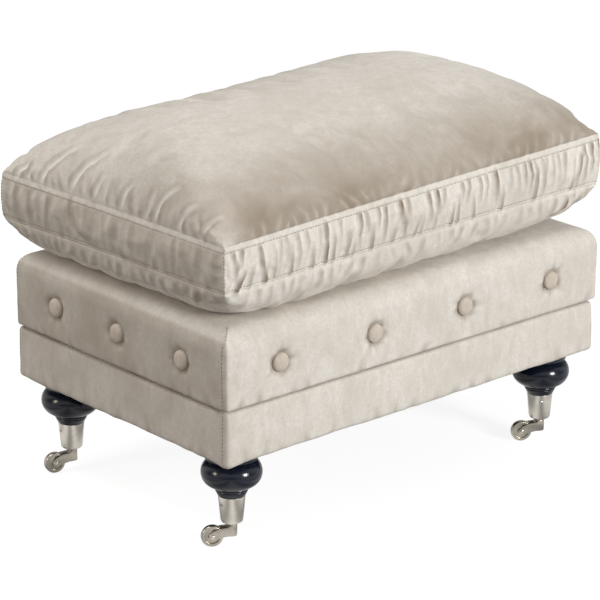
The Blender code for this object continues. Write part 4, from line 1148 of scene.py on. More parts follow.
@dataclass(frozen=True)
class BoxPlan:
    """A box's outline seen from above, with rounded corners."""

    x_low: float
    x_high: float
    y_low: float
    y_high: float
    radius: float = 0.007

    def sides(self) -> list[tuple[Vector, Vector, Vector, float]]:
        """Returns start corner, direction, way in and length of the front, right, back and left side."""
        x, y = Vector((1, 0, 0)), Vector((0, 1, 0))
        length, depth = self.x_high - self.x_low, self.y_high - self.y_low
        return [
            (Vector((self.x_low, self.y_low, 0)), x, y, length),
            (Vector((self.x_high, self.y_low, 0)), y, -x, depth),
            (Vector((self.x_high, self.y_high, 0)), -x, -y, length),
            (Vector((self.x_low, self.y_high, 0)), -y, x, depth),
        ]

    def stations(self, length: float, pitch: float) -> list[float]:
        """Returns the distances along one side at which the cloth has a column of points."""
        r = self.radius
        inner = np.linspace(r, length - r, max(2, round((length - 2 * r) / pitch)) + 1)
        return [0.0, r / 2, *inner.tolist(), length - r / 2]

    def seam_columns(self, pitch: float) -> list[int]:
        """Returns the columns of the sewn line next to each corner, on the ends of the box."""
        n, m = (len(self.stations(side[3], pitch)) for side in self.sides()[:2])
        return [n + 1, n + m - 1, 2 * n + m + 1, 2 * n + 2 * m - 1]

    def loop(self, inset: float, z: float, pitch: float) -> list[Vector]:
        """Returns one loop round the box.

        Args:
            inset: Distance inwards from the outline.
            z: Height.
            pitch: Distance between columns.

        Returns:
            The points, anticlockwise from the front left corner.
        """
        points = []
        r0, r = self.radius, max(self.radius - inset, 0.001)
        for start, way, inward, whole in self.sides():
            length = whole - 2 * inset
            for p in self.stations(whole, pitch):
                near = min(p, whole - p)
                if near < r0:
                    angle = radians(45 + 45 * near / r0)
                    along, depth = r - r * cos(angle), r - r * sin(angle)
                    along = along if p < whole / 2 else length - along
                else:
                    along, depth = r + (length - 2 * r) * (p - r0) / (whole - 2 * r0), 0.0
                point = start + (way + inward) * inset + way * along + inward * depth
                points.append(Vector((point.x, point.y, z)))
        return points


def skin_of(
    plan: BoxPlan,
    profile: Sequence[tuple[float, float]],
    pitch: float,
    fill_last: bool = False,
    closed: bool = False,
) -> tuple[Form, np.ndarray]:
    """Lofts a box's cloth from a profile of insets and heights.

    Args:
        plan: The box's outline.
        profile: (inset, height) of each loop.
        pitch: Distance between columns.
        fill_last: Whether the last loop is filled with a grid.
        closed: Whether the last loop joins the first.

    Returns:
        The form, and its point numbers by loop and column.
    """
    form = Form()
    grid = form.loft([plan.loop(inset, z, pitch) for inset, z in profile], closed)
    if fill_last:
        sides = plan.sides()
        n, m = len(plan.stations(sides[0][3], pitch)), len(plan.stations(sides[1][3], pitch))
        rim, total = grid[-1], grid.shape[1]
        floor = np.zeros((m + 1, n + 1), int)
        for i in range(n + 1):
            floor[0, i], floor[m, i] = rim[i], rim[(n + m + n - i) % total]
        for j in range(m + 1):
            floor[j, n], floor[j, 0] = rim[n + j], rim[(2 * n + m + m - j) % total]
        xs, ys = form.points[floor[0, 1:n], 0], form.points[floor[1:m, n], 1]
        inner = np.stack([*np.meshgrid(xs, ys), np.full((m - 1, n - 1), profile[-1][1])], -1)
        floor[1:m, 1:n] = form.add(inner)
        form.skin(floor, flip=False)
    return form, grid


def snapped(path: np.ndarray, tree: BVHTree, lift: float, parts: int = 1) -> np.ndarray:
    """Lays a line on a surface.

    Args:
        path: The line's points, near the surface.
        tree: The surface.
        lift: Distance that the line stands off.
        parts: How many parts each step of the line is divided into.

    Returns:
        The line on the surface.
    """
    if parts > 1:
        path = np.vstack([np.linspace(a, b, parts, endpoint=False) for a, b in zip(path, path[1:])])
    out = []
    for p in path:
        spot, normal, _, _ = tree.find_nearest(Vector(p))
        out.append(tuple(spot + normal * lift))
    return np.array(out)


def surface_of(mesh: bpy.types.Mesh) -> BVHTree:
    """Returns a mesh's surface for laying seams on it."""
    return BVHTree.FromPolygons([v.co for v in mesh.vertices], [tuple(f.vertices) for f in mesh.polygons])


BASE_PLAN = BoxPlan(-0.3085, 0.3085, -0.2055, 0.2055)
LID_PLAN = BoxPlan(-0.312, 0.312, -0.210, 0.2055)


@dataclass
class Base:
    """The plain lower box: cover, lining, dust cloth and the felt that the lid closes on."""

    workshop: Workshop
    underside: float = 0.1280
    rim: float = 0.1931
    well_inset: float = 0.0246
    turn_under: float = 0.028
    pitch: float = 0.0052

    def cover(self) -> None:
        """Builds the velvet cover over its wadding, full towards the bottom and soft at the near corner."""
        fin, z0, z1 = self.workshop.finishes, self.underside, self.rim
        profile = [(self.turn_under + 0.012, z0 + 0.0018), (self.turn_under + 0.010, z0)]
        profile += [(self.turn_under, z0), (0.018, z0), (0.010, z0), (0.0052, z0), (0.003, z0 + 0.0002)]
        profile += [(0.0009, z0 + 0.0011), (0.0001, z0 + 0.0028)]
        wall = [(0, z) for z in np.linspace(z0 + 0.011, z1 - 0.0095, 10)]
        profile += [(0, z0 + 0.0062), *wall, (0, z1 - 0.0062)]
        profile += [(0.0001, z1 - 0.0037), (0.0011, z1 - 0.0013), (0.0034, z1 - 0.0001), (0.0068, z1)]
        well = self.well_inset
        profile += [(0.0125, z1), (0.0195, z1), (well - 0.0015, z1), (well, z1 - 0.0014)]
        profile += [(well + 0.0001, z1 - 0.030), (well + 0.0001, z0 + 0.0150)]
        form, grid = skin_of(BASE_PLAN, profile, self.pitch, closed=True)
        p = form.points
        level = np.clip((z1 - p[:, 2]) / (z1 - z0), 0, 1)
        outer = np.maximum(np.abs(p[:, 0]) - 0.290, np.abs(p[:, 1]) - 0.187) > 0
        full = 0.0028 * level**1.1 * np.clip((p[:, 2] - z0 + 0.002) / 0.004, 0, 1)
        full += 0.0008 * np.sin(pi * level) ** 0.8
        form.points += form.normals() * (full * outer)[:, None]
        near = np.exp(-(np.hypot(p[:, 0] - BASE_PLAN.x_low, p[:, 1] - BASE_PLAN.y_low) / 0.026) ** 1.6)
        form.points[:, 2] -= 0.0042 * near * np.clip(level * 1.6 - 0.6, 0, 1) * outer
        form.wave(0.00055, 0.075, 3, outer * 1.0)
        form.wave(0.00025, 0.022, 4, outer * level)
        flat, source, normals = form.points.copy(), random.Random(21), form.normals()
        for start, way, inward, length in BASE_PLAN.sides():
            x = 0.03
            while x < length - 0.02:
                foot = np.array(start + way * x - inward * 0.002)
                lean = source.uniform(-0.012, 0.012)
                rise = source.uniform(0.010, 0.026)
                path = np.array([foot + [0, 0, z0], foot + np.array(way) * lean + [0, 0, z0 + rise]])
                form.fold(path, source.uniform(0.0045, 0.007), source.uniform(0.0003, 0.0008), normals)
                x += source.uniform(0.022, 0.045)
        ridge = ((form.points - flat) * normals).sum(1) / MM
        # Painted shade: the ends are painted browner, and ridge paints fold tops lighter and valleys darker
        form.marks = {"nap": 0.32 * (np.abs(form.points[:, 0]) > 0.305), "ridge": ridge}
        rows = range(7, 21)
        for column in BASE_PLAN.seam_columns(self.pitch):
            form.points[grid[rows, column]] -= form.normals()[grid[rows, column]] * 0.0007
        mesh = subdivided(form, "base_cover_cloth")
        nodes = ("base_cover", "base_wadding")
        cover = piece("base_cover_cloth", mesh, fin.velvet, Body.BASE, nodes)
        tree = surface_of(mesh)
        paths, heights = [], np.linspace(z0 + 0.004, z1 - 0.004, 24)
        for start, way, _, length in BASE_PLAN.sides()[1::2]:
            for at in (0.0062, length - 0.0062):
                line = np.array([start + way * at + UP * z for z in heights])
                paths.append(snapped(line, tree, 0.00005))
        self.workshop.stitches.sew("base_corner_stitches", paths, fin.thread, Body.BASE)

    def lining(self) -> None:
        """Builds the calico lining of the well, tucked in at its edges."""
        fin = self.workshop.finishes
        inset, floor, top = self.well_inset + 0.0006, 0.1427, 0.1926
        profile = [(inset + 0.0004, top), (inset, top - 0.003)]
        profile += [(inset, z) for z in np.linspace(0.182, 0.150, 4)]
        profile += [(inset + 0.0006, floor + 0.0030), (inset + 0.0030, floor + 0.0006)]
        profile += [(inset + 0.008, floor)]
        form, _ = skin_of(BASE_PLAN, profile, 0.0105, fill_last=True)
        form.wave(0.0003, 0.045, 11)
        mesh = subdivided(form, "well_lining_cloth")
        lining = piece("well_lining_cloth", mesh, fin.calico, Body.BASE, ("base_lining",))

    def dust_cloth(self) -> None:
        """Builds the dust cloth under the box, held by a row of staples."""
        fin = self.workshop.finishes
        plan = BoxPlan(-0.2965, 0.2965, -0.1935, 0.1935, 0.004)
        form, _ = skin_of(plan, [(0, 0.1276), (0, 0.1272), (0.0004, 0.1271)], 0.011, fill_last=True)
        p = form.points
        sag = 0.0016 * (1 - (p[:, 0] / 0.3) ** 4) * (1 - (p[:, 1] / 0.2) ** 4)
        form.points[:, 2] -= sag * self.clear_of_feet(p)
        mesh = form.mesh("dust_cloth_sheet")
        cloth = piece("dust_cloth_sheet", mesh, fin.dust_cloth, Body.BASE, ("dust_cloth",))
        staple = Form()
        staple.block((-0.005, -0.0004, -0.0002), (0.005, 0.0004, 0.0005))
        places = []
        for start, way, inward, length in plan.sides():
            count = round(length / 0.045)
            for k in range(count):
                spot = start + way * (length * (k + 0.5) / count) + inward * 0.006 + UP * 0.1268
                places.append((spot, (0, 0, -1), tuple(way)))
        mesh = staple.mesh("staple", 30)
        self.workshop.repeats.lay("dust_cloth_staples", mesh, places, fin.zinc, Body.BASE, Slot.ZINC)

    def clear_of_feet(self, points: np.ndarray) -> np.ndarray:
        """Returns 0 over the feet and 1 away from them for each point."""
        free = np.ones(len(points))
        for corner in CORNERS:
            away = np.hypot(points[:, 0] - corner.x, points[:, 1] - corner.y)
            free = np.minimum(free, np.clip((away - 0.036) / 0.03, 0, 1))
        return free

    def rim_felt(self) -> None:
        """Builds the felt strip on the rim, open at the hinge."""
        x_out, y_front, y_back, wide = 0.2995, -0.1965, 0.1804, 0.008
        low, high = self.rim + GAP, 0.1967
        x_in, y_in = x_out - wide, y_front + wide
        outer = [(-x_out, y_back), (-x_out, y_front), (x_out, y_front), (x_out, y_back)]
        inner = [(-x_in, y_back), (-x_in, y_in), (x_in, y_in), (x_in, y_back)]
        form = Form()
        loops = []
        for share, z in ((0.06, low), (0, low + 0.0006), (0, high - 0.0008), (0.08, high)):
            row = []
            for (ax, ay), (bx, by) in zip(outer, inner):
                row.append((ax + (bx - ax) * share, ay + (by - ay) * share, z))
            for (ax, ay), (bx, by) in zip(reversed(outer), reversed(inner)):
                row.append((bx + (ax - bx) * share, by + (ay - by) * share, z))
            loops.append(row)
        grid = form.loft(loops)
        for row, step in ((grid[0], -1), (grid[-1], 1)):
            for a in range(3):
                form.close(row[[a, a + 1, 6 - a, 7 - a]][::step])
        mesh, felt = form.mesh("rim_felt_strip", 60), self.workshop.finishes.felt
        piece("rim_felt_strip", mesh, felt, Body.BASE, ("rim_felt",))


def dress(node: str, material: bpy.types.Material) -> None:
    """Gives a solid that stays in view its material.

    Args:
        node: The solid's name.
        material: The material.
    """
    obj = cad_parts[node]
    for slot in obj.material_slots:
        slot.material = material
    LOG.info("%s: %s", node, material.name)


def dress_frame(finishes: Palette, board: str, rails: str) -> None:
    """Gives a box's board and rails their wood.

    Args:
        finishes: Every finish.
        board: The board's name.
        rails: What the rails' names start with.
    """
    dress(board, finishes.birch)
    for side in ("front", "back"):
        dress(f"{rails}_{side}", finishes.pine_long)
    for side in ("left", "right"):
        dress(f"{rails}_{side}", finishes.pine_short)


BUTTON_ROWS = (
    ("front", 4, (0, -1, 0)),
    ("back", 4, (0, 1, 0)),
    ("left", 3, (-1, 0, 0)),
    ("right", 3, (1, 0, 0)),
)


@dataclass
class Lid:
    """The buttoned upper box: cover, covered buttons, lining and hinge."""

    workshop: Workshop
    underside: float = 0.1970
    deck: float = 0.2940
    edge: float = 0.026
    well_inset: float = 0.0324
    roof: float = 0.2685
    pitch: float = 0.0050
    button_height: float = 0.2400
    button_radius: float = 0.0120
    seed: int = 5
    buttons: list[tuple[Vector, Vector]] = field(default_factory=list)

    def button_spots(self) -> None:
        """Reads the middle of each button from the solids, and works out which way it faces."""
        for side, count, way in BUTTON_ROWS:
            for number in range(1, count + 1):
                low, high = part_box(f"button_{side}_{number}")
                middle = (Vector(low) + Vector(high)) / 2
                if side in ("front", "back"):
                    middle.y = LID_PLAN.y_low if side == "front" else LID_PLAN.y_high
                else:
                    middle.x = LID_PLAN.x_low if side == "left" else LID_PLAN.x_high
                self.buttons.append((middle, Vector(way)))

    def cover(self) -> None:
        """Builds the velvet cover over its foam, drawn in at the buttons and sewn at the corners."""
        fin, z0, z1, r = self.workshop.finishes, self.underside, self.deck, self.edge
        well = self.well_inset
        profile = [(well, self.roof), (well, z0 + 0.036), (well, z0 + 0.0015)]
        profile += [(well - 0.0015, z0), (0.022, z0), (0.012, z0), (0.0056, z0)]
        profile += [(0.003, z0 + 0.0003), (0.0010, z0 + 0.0012), (0.0001, z0 + 0.0030)]
        profile += [(0, z) for z in np.linspace(z0 + 0.0065, z1 - r, 14)]
        for angle in range(12, 91, 13):
            a = radians(min(angle, 90))
            profile.append((r - r * cos(a), z1 - r + r * sin(a)))
        profile.append((r + 0.004, z1))
        form, grid = skin_of(LID_PLAN, profile, self.pitch, fill_last=True)
        p = form.points
        level = np.clip((p[:, 2] - z0) / (z1 - r - z0), 0, 1.25)
        outer = np.maximum(np.abs(p[:, 0]) - 0.2995, np.abs(p[:, 1] + 0.00225) - 0.1955) > 0
        outer &= p[:, 2] > z0 + 0.0005
        along = np.where(np.abs(p[:, 0]) > 0.3, np.abs(p[:, 1] + 0.00225) / 0.208, np.abs(p[:, 0]) / 0.312)
        puff = 0.0016 * np.sin(pi * np.clip(level / 1.25, 0, 1)) ** 0.7 * (1 - np.clip(along, 0, 1) ** 14)
        form.points += form.normals() * np.where(outer, puff, 0)[:, None]
        # Painted shade: a dark ring round each button, carried into the ridge mark
        button_ring_shade = np.zeros(len(form.points))
        for spot, way in self.buttons:
            offset = form.points - np.array(spot)
            depth = offset @ np.array(way)
            away = np.linalg.norm(offset - depth[:, None] * np.array(way), axis=1)
            dent = 0.0050 * np.exp(-((away / 0.0148) ** 4)) + 0.0022 * np.exp(-((away / 0.027) ** 2))
            dent *= np.abs(depth) < 0.02
            form.points -= np.array(way) * dent[:, None]
            button_ring_shade -= 1.1 * np.exp(-(((away - 0.0135) / 0.0032) ** 2)) * (np.abs(depth) < 0.02)
        flat, normals = form.points.copy(), form.normals()
        self.creases(form)
        ridge = button_ring_shade + ((form.points - flat) * normals).sum(1) / MM
        # Painted shade: the ends are painted browner, and ridge paints fold tops lighter and valleys darker
        form.marks = {"nap": 0.5 * (np.abs(form.points[:, 0]) > 0.308), "ridge": ridge}
        form.wave(0.00040, 0.085, self.seed, outer * 1.0)
        form.wave(0.00016, 0.024, self.seed + 1, outer * 1.0)
        seams = LID_PLAN.seam_columns(self.pitch)
        rows = list(range(9, grid.shape[0] - 2))
        for column in seams:
            form.points[grid[rows, column]] -= form.normals()[grid[rows, column]] * 0.0008
        mesh = subdivided(form, "lid_cover_cloth", cap=True)
        nodes = ("lid_cover", "lid_side_foam", "deck_foam")
        cover = piece("lid_cover_cloth", mesh, fin.velvet, Body.LID, nodes)
        tree = surface_of(mesh)
        paths = []
        for column in seams:
            beside = column + (1 if column in (seams[0], seams[2]) else -1)
            paths.append(snapped(form.points[grid[rows, beside]], tree, 0.00005, 4))
        self.workshop.stitches.sew("lid_corner_stitches", paths, fin.thread, Body.LID)

    def creases(self, form: Form) -> None:
        """Draws the short pulls in the cloth round each button, and the soft ones at its edges.

        Args:
            form: The cover.
        """
        source, normals = random.Random(self.seed + 7), form.normals()
        for spot, way in self.buttons:
            across = way.cross(UP)
            for k in range(8):
                angle = 2 * pi * (k + source.uniform(-0.35, 0.35)) / 8
                ray = across * cos(angle) + UP * sin(angle)
                length = source.uniform(0.010, 0.026)
                path = np.array([spot + ray * (0.010 + length * t) + way * 0.001 for t in (0, 0.5, 1)])
                width, depth = source.uniform(0.0036, 0.0048), source.uniform(0.0005, 0.0012)
                form.fold(path, width, depth, normals, taper=1.2)
        for start, way, _, length in LID_PLAN.sides():
            x = 0.02
            while x < length - 0.015:
                head = start + way * x + UP * self.underside
                lean, fall = source.uniform(-0.01, 0.01), source.uniform(0.008, 0.020)
                if source.random() < 0.6:
                    path = np.array([head + UP * 0.001, head + way * lean + UP * fall])
                    form.fold(path, source.uniform(0.0045, 0.006), source.uniform(0.0003, 0.0009), normals)
                x += source.uniform(0.018, 0.035)

    def covered_buttons(self) -> None:
        """Builds the covered buttons from one shape: a dome whose cloth is gathered in small pleats."""
        form, sides, radius = Form(), 48, self.button_radius
        rows = [(0.80, -0.0060), (0.97, -0.0046), (1.0, -0.0030), (0.985, -0.0014)]
        rows += [(0.93, 0.0001), (0.82, 0.0012), (0.62, 0.0021), (0.36, 0.0026)]
        loops = []
        for share, height in rows:
            loop = []
            for k in range(sides):
                a = 2 * pi * k / sides
                pleat = 1 + 0.010 * sin(12 * a + 0.8 * sin(3 * a)) * min(1, max(0, (share - 0.3) * 2))
                loop.append((radius * share * pleat * cos(a), radius * share * pleat * sin(a), height))
            loops.append(loop)
        grid = form.loft(loops)
        form.fan((0, 0, 0.0027), grid[-1])
        form.close(grid[0][::-1])
        source = random.Random(31)
        places = []
        for spot, way in self.buttons:
            turn = source.uniform(0, 2 * pi)
            places.append((spot, way, way.cross(UP) * cos(turn) + UP * sin(turn)))
        names = [f"button_{side}_{k + 1}" for side, count, _ in BUTTON_ROWS for k in range(count)]
        mesh, velvet = form.mesh("button"), self.workshop.finishes.seam_velvet
        self.workshop.repeats.lay("covered_buttons", mesh, places, velvet, Body.LID, Slot.VELVET, names)

    def lining(self) -> None:
        """Builds the calico lining of the lid's hollow."""
        inset, roof, low = self.well_inset + 0.0006, 0.2670, 0.1976
        profile = [(inset + 0.006, roof), (inset + 0.0026, roof - 0.0005), (inset + 0.0005, roof - 0.0028)]
        profile += [(inset, z) for z in np.linspace(0.262, low + 0.004, 6)] + [(inset + 0.0004, low)]
        form, _ = skin_of(LID_PLAN, profile[::-1], 0.0105, fill_last=True)
        form.wave(0.0003, 0.045, 12)
        mesh, calico = subdivided(form, "lid_lining_cloth"), self.workshop.finishes.calico
        lining = piece("lid_lining_cloth", mesh, calico, Body.LID, ("lid_lining",))

    def hinge(self) -> None:
        """Builds the leaves with softened edges, the pin and the cross-head screws."""
        fin = self.workshop.finishes
        for node, body in (("hinge_base_leaf", Body.BASE), ("hinge_lid_leaf", Body.LID)):
            mesh = softened_copy(node, 0.00025)
            piece(node + "_plate", mesh, fin.zinc, body, (node,))
        pin = Form()
        place = facing((-0.225, 0.209, 0.19505), (1, 0, 0))
        pin.turn(rounded([(0, 0, 0), (0.0014, 0, 0.0003), (0.0014, 0.45, 0.0003), (0, 0.45, 0)]), 24, place)
        piece("hinge_pin_rod", pin.mesh("hinge_pin_rod", 40), fin.zinc, Body.BASE, ("hinge_pin",))
        head = screw_head(0.0026, 0.00012, 0.0009)
        rows = ((Body.BASE, 0.1949, 0.1901, 1), (Body.LID, 0.1952, 0.1823, -1))
        for body, z, y, up in rows:
            places = [((x, y, z), (0, 0, up), (0.8, 0.6, 0)) for x in np.linspace(-0.2, 0.2, 5)]
            name = f"hinge_screws_{body.value}"
            self.workshop.repeats.lay(name, head.copy(), places, fin.zinc, body, Slot.ZINC)


# Cushion


@dataclass(frozen=True)
class Fold:
    """One fold that the photo shows: its panel, its start and end there, and its size in millimetres."""

    panel: Panel
    start: tuple[float, float]
    end: tuple[float, float]
    width: float
    depth: float


FOLDS = (
    Fold(Panel.FRONT, (-0.498, 0.10), (-0.502, 0.95), 3.4, 2.2),
    Fold(Panel.FRONT, (-0.328, 0.12), (-0.325, 0.95), 3.2, 1.9),
    Fold(Panel.FRONT, (-0.108, 0.12), (-0.080, 0.98), 3.6, 2.3),
    Fold(Panel.FRONT, (0.083, 0.12), (0.077, 0.98), 3.2, 2.0),
    Fold(Panel.FRONT, (0.408, 0.10), (0.417, 0.92), 3.4, 2.4),
    Fold(Panel.FRONT, (0.593, 0.10), (0.607, 0.92), 3.0, 2.2),
    Fold(Panel.FRONT, (0.622, 0.12), (0.636, 0.66), 2.6, 1.6),
    Fold(Panel.FRONT, (0.892, 0.25), (0.845, 1.0), 3.6, 2.2),
    Fold(Panel.FRONT, (-0.945, 0.99), (-0.900, 0.55), 4.2, 3.0),
    Fold(Panel.FRONT, (-0.800, 0.95), (-0.830, 0.40), 3.6, 1.4),
    Fold(Panel.FRONT, (-0.700, 0.12), (-0.690, 0.80), 3.2, 1.3),
    Fold(Panel.LEFT, (0.845, 0.10), (0.868, 0.95), 3.6, 2.2),
    Fold(Panel.LEFT, (0.712, 0.12), (0.723, 0.98), 3.6, 2.2),
    Fold(Panel.LEFT, (0.543, 0.15), (0.590, 1.0), 4.0, 2.0),
    Fold(Panel.LEFT, (0.350, 0.05), (0.325, 0.62), 3.6, 1.8),
    Fold(Panel.LEFT, (0.345, 0.50), (0.080, 0.99), 4.6, 1.9),
    Fold(Panel.LEFT, (0.000, 0.78), (-0.330, 1.0), 4.6, 1.6),
    Fold(Panel.TOP, (-0.9995, 0.867), (-0.979, 0.763), 5.0, -2.2),
    Fold(Panel.TOP, (-0.9995, 0.742), (-0.982, 0.710), 4.6, -1.8),
    Fold(Panel.TOP, (-0.9995, 0.631), (-0.915, 0.400), 5.2, -2.6),
    Fold(Panel.TOP, (-0.9995, 0.357), (-0.912, 0.150), 5.2, -2.6),
    Fold(Panel.TOP, (-0.9995, 0.149), (-0.970, 0.070), 4.6, -1.9),
    Fold(Panel.TOP, (-0.9995, -0.094), (-0.966, -0.180), 4.6, -2.0),
    Fold(Panel.TOP, (-0.9995, -0.335), (-0.960, -0.352), 4.4, -1.8),
    Fold(Panel.TOP, (-0.9995, -0.397), (-0.932, -0.515), 4.8, -2.2),
    Fold(Panel.TOP, (-0.9995, -0.610), (-0.945, -0.700), 4.8, -2.0),
    Fold(Panel.TOP, (-0.9995, -0.807), (-0.925, -0.880), 4.6, -1.8),
    Fold(Panel.UNDERSIDE, (0.838, -0.998), (0.742, -0.900), 4.0, 2.2),
    Fold(Panel.UNDERSIDE, (0.916, -0.996), (0.814, -0.910), 4.0, 2.0),
)
# What the folds' width and depth are multiplied by on each panel
FOLD_SIZE = {
    Panel.FRONT: (1.0, 1.35),
    Panel.LEFT: (1.4, 0.6),
    Panel.TOP: (0.74, 0.95),
    Panel.UNDERSIDE: (1.0, 1.2),
}


@dataclass
class Cushion:
    """The loose box cushion: its sewn velvet case, stitching and zip."""

    workshop: Workshop
    length: float = 0.632
    depth: float = 0.421
    centre: tuple[float, float] = (-0.0039, 0.0039)
    yaw: float = 1.2
    deck: float = 0.2940
    seam_height: float = 0.1134
    border: float = 0.0604
    bulge: float = 0.0035
    crown: float = 0.0785
    crown_flatness: tuple[float, float] = (6.9, 2.2)
    drop: float = 0.056
    drop_flatness: float = 6.1
    steepness: float = 0.53
    lean: tuple[float, float] = (0.0071, 0.001)
    levelling: float = 0.45
    end_sag: float = 0.05
    draw_in: float = 0.003
    corner_pull: float = 0.0015
    sharpness: int = 9
    rest: float = 0.2943
    pitch: float = 0.0058
    band: float = 0.0076
    low_stitch: float = 0.0038
    zip_half: float = 0.200
    stitch: tuple[float, float] = (0.0042, 0.0027)
    most_swell: float = 0.0012
    most_pucker: float = 0.0030
    seed: int = 17

    def seam(self, u: Any, v: Any, drop: Any) -> np.ndarray:
        """Returns points of the plan at the seams, sunk by a drop below the top seam."""
        u, v, drop = np.broadcast_arrays(np.asarray(u, float), np.asarray(v, float), np.asarray(drop, float))
        corner = self.corner_pull * np.abs(u * v) ** self.sharpness
        x = self.length / 2 * u - np.sign(u) * (self.draw_in * u**4 * (1 - v**2) + corner)
        y = self.depth / 2 * v - np.sign(v) * (self.draw_in * v**4 * (1 - u**2) + corner)
        lean = (1 - self.levelling * drop / self.border) * (self.lean[0] * u - self.lean[1] * v)
        sag = 1 + self.end_sag * u**4 * (1 - 0.25 * (1 - u) * (1 - v))
        return np.stack([x, y, self.deck + self.seam_height + lean - drop * sag], -1)

    def swelling(self, position: Any, flatness: float) -> np.ndarray:
        """Returns how far a panel has swollen out between two seams, from 0 to 1."""
        return np.maximum(1 - np.abs(position) ** flatness, 0) ** self.steepness

    def surface(self, panel: Panel, a: Any, b: Any) -> np.ndarray:
        """Returns points on a panel before it is stuffed.

        Args:
            panel: The panel.
            a: Place along the panel, -1 to 1.
            b: Place across it, -1 to 1, or on a border the share of the way down.

        Returns:
            The points in the cushion's own frame.
        """
        a, b = np.asarray(a, float), np.asarray(b, float)
        if panel is Panel.TOP:
            points = self.seam(a, b, 0)
            full = self.swelling(a, self.crown_flatness[0]) ** 0.86 * self.swelling(b, self.crown_flatness[1])
            points[..., 2] += self.crown * (1 - 0.035 * (a + 0.25)) * full
            return points
        if panel is Panel.UNDERSIDE:
            points, flatness = self.seam(a, b, self.border), self.drop_flatness
            full = (self.swelling(a, flatness) * self.swelling(b, flatness)) ** 0.8
            points[..., 2] = np.maximum(points[..., 2] - self.drop * full, self.rest)
            return points
        u = a if panel in (Panel.FRONT, Panel.BACK) else np.full_like(a, 1 if panel is Panel.RIGHT else -1)
        v = a if panel in (Panel.LEFT, Panel.RIGHT) else np.full_like(a, 1 if panel is Panel.BACK else -1)
        return self.rim_point(u, v, b * self.border)

    def rim_point(self, u: np.ndarray, v: np.ndarray, drop: Any) -> np.ndarray:
        """Returns points on the border at a drop below the top seam."""
        out = np.stack([u**self.sharpness, v**self.sharpness, 0 * u], -1)
        out = out / np.linalg.norm(out, axis=-1, keepdims=True)
        share = np.asarray(drop) / self.border
        return self.seam(u, v, drop) + out * (self.bulge * 4 * share * (1 - share))[..., None]

    def steps(self, half: float, flatness: float) -> tuple[np.ndarray, np.ndarray]:
        """Works out where the columns of the case run, even along the crown's arc and closer at the seams.

        Args:
            half: Half the panel's size.
            flatness: Flatness of the crown along it.

        Returns:
            The places from -1 to 1, and each one's distance from the nearer seam along the arc.
        """
        s = np.linspace(-1, 1, 8001)
        u = np.sign(s) * (1 - (1 - np.abs(s)) ** 3)
        curve = np.stack([half * u, self.crown * self.swelling(u, flatness)], -1)
        arc = np.concatenate([[0], np.cumsum(np.linalg.norm(np.diff(curve, axis=0), axis=1))])
        whole = arc[-1]
        edge = [0, 0.0009, 0.0024, 0.0046, 0.0078, 0.0122]
        count = 2 * round((whole / 2 - edge[-1]) / self.pitch)
        middle = np.linspace(edge[-1], whole - edge[-1], count + 1)
        at = np.concatenate([edge[:-1], middle, whole - np.array(edge[:-1][::-1])])
        return np.interp(at, arc, u), np.minimum(at, whole - at)

    def drops(self) -> np.ndarray:
        """Returns the rows of the border, measured down from the top seam."""
        b = self.border
        low = b - self.low_stitch
        rows = [0, 0.0012, 0.0030, 0.0050, 0.0066, self.band, 0.0088, 0.0118, 0.0160, 0.0204, 0.0244, 0.0257]
        rows += [0.0302, 0.0347, 0.0360, 0.0400, 0.0444, 0.0488, 0.0526]
        return np.array([*rows, low - 0.0014, low, low + 0.0013, b - 0.0011, b])

    def case_form(self) -> tuple[Form, np.ndarray, np.ndarray, np.ndarray]:
        """Builds the case as it is cut and sewn, before it is stuffed.

        Returns:
            The form, the border's point numbers by row and column, the distance of each point from a
            seam, and the (u, v) of each column.
        """
        form = Form()
        (along, from_u), (across, from_v) = (
            self.steps(self.length / 2, self.crown_flatness[0]),
            self.steps(self.depth / 2, self.crown_flatness[1]),
        )
        n, m = len(along), len(across)
        u, v = np.meshgrid(along, across, indexing="ij")
        near = np.minimum(*np.meshgrid(from_u, from_v, indexing="ij"))
        top = form.add(self.surface(Panel.TOP, u, v))
        form.skin(top, flip=True)
        rim = [(i, 0) for i in range(n - 1)] + [(n - 1, j) for j in range(m - 1)]
        rim += [(i, m - 1) for i in range(n - 1, 0, -1)] + [(0, j) for j in range(m - 1, 0, -1)]
        rim = np.array(rim)
        places = np.stack([along[rim[:, 0]], across[rim[:, 1]]], -1)
        drops = self.drops()
        at_u, at_v = (np.broadcast_to(places[:, k], (len(drops) - 2, len(rim))) for k in (0, 1))
        border = form.add(self.rim_point(at_u, at_v, drops[1:-1, None] * np.ones(len(rim))))
        low = form.add(self.surface(Panel.UNDERSIDE, u, v))
        form.skin(low)
        rows = np.vstack([top[rim[:, 0], rim[:, 1]][None], border, low[rim[:, 0], rim[:, 1]][None]])
        form.skin(rows, ring=True, flip=True)
        corner = np.minimum(from_u[rim[:, 0]] + from_v[rim[:, 1]], 1)
        down = np.minimum(drops, self.border - drops)[1:-1, None]
        seams = [near.ravel(), np.minimum(down, corner[None, :]).ravel(), near.ravel()]
        return form, rows, np.concatenate(seams), places

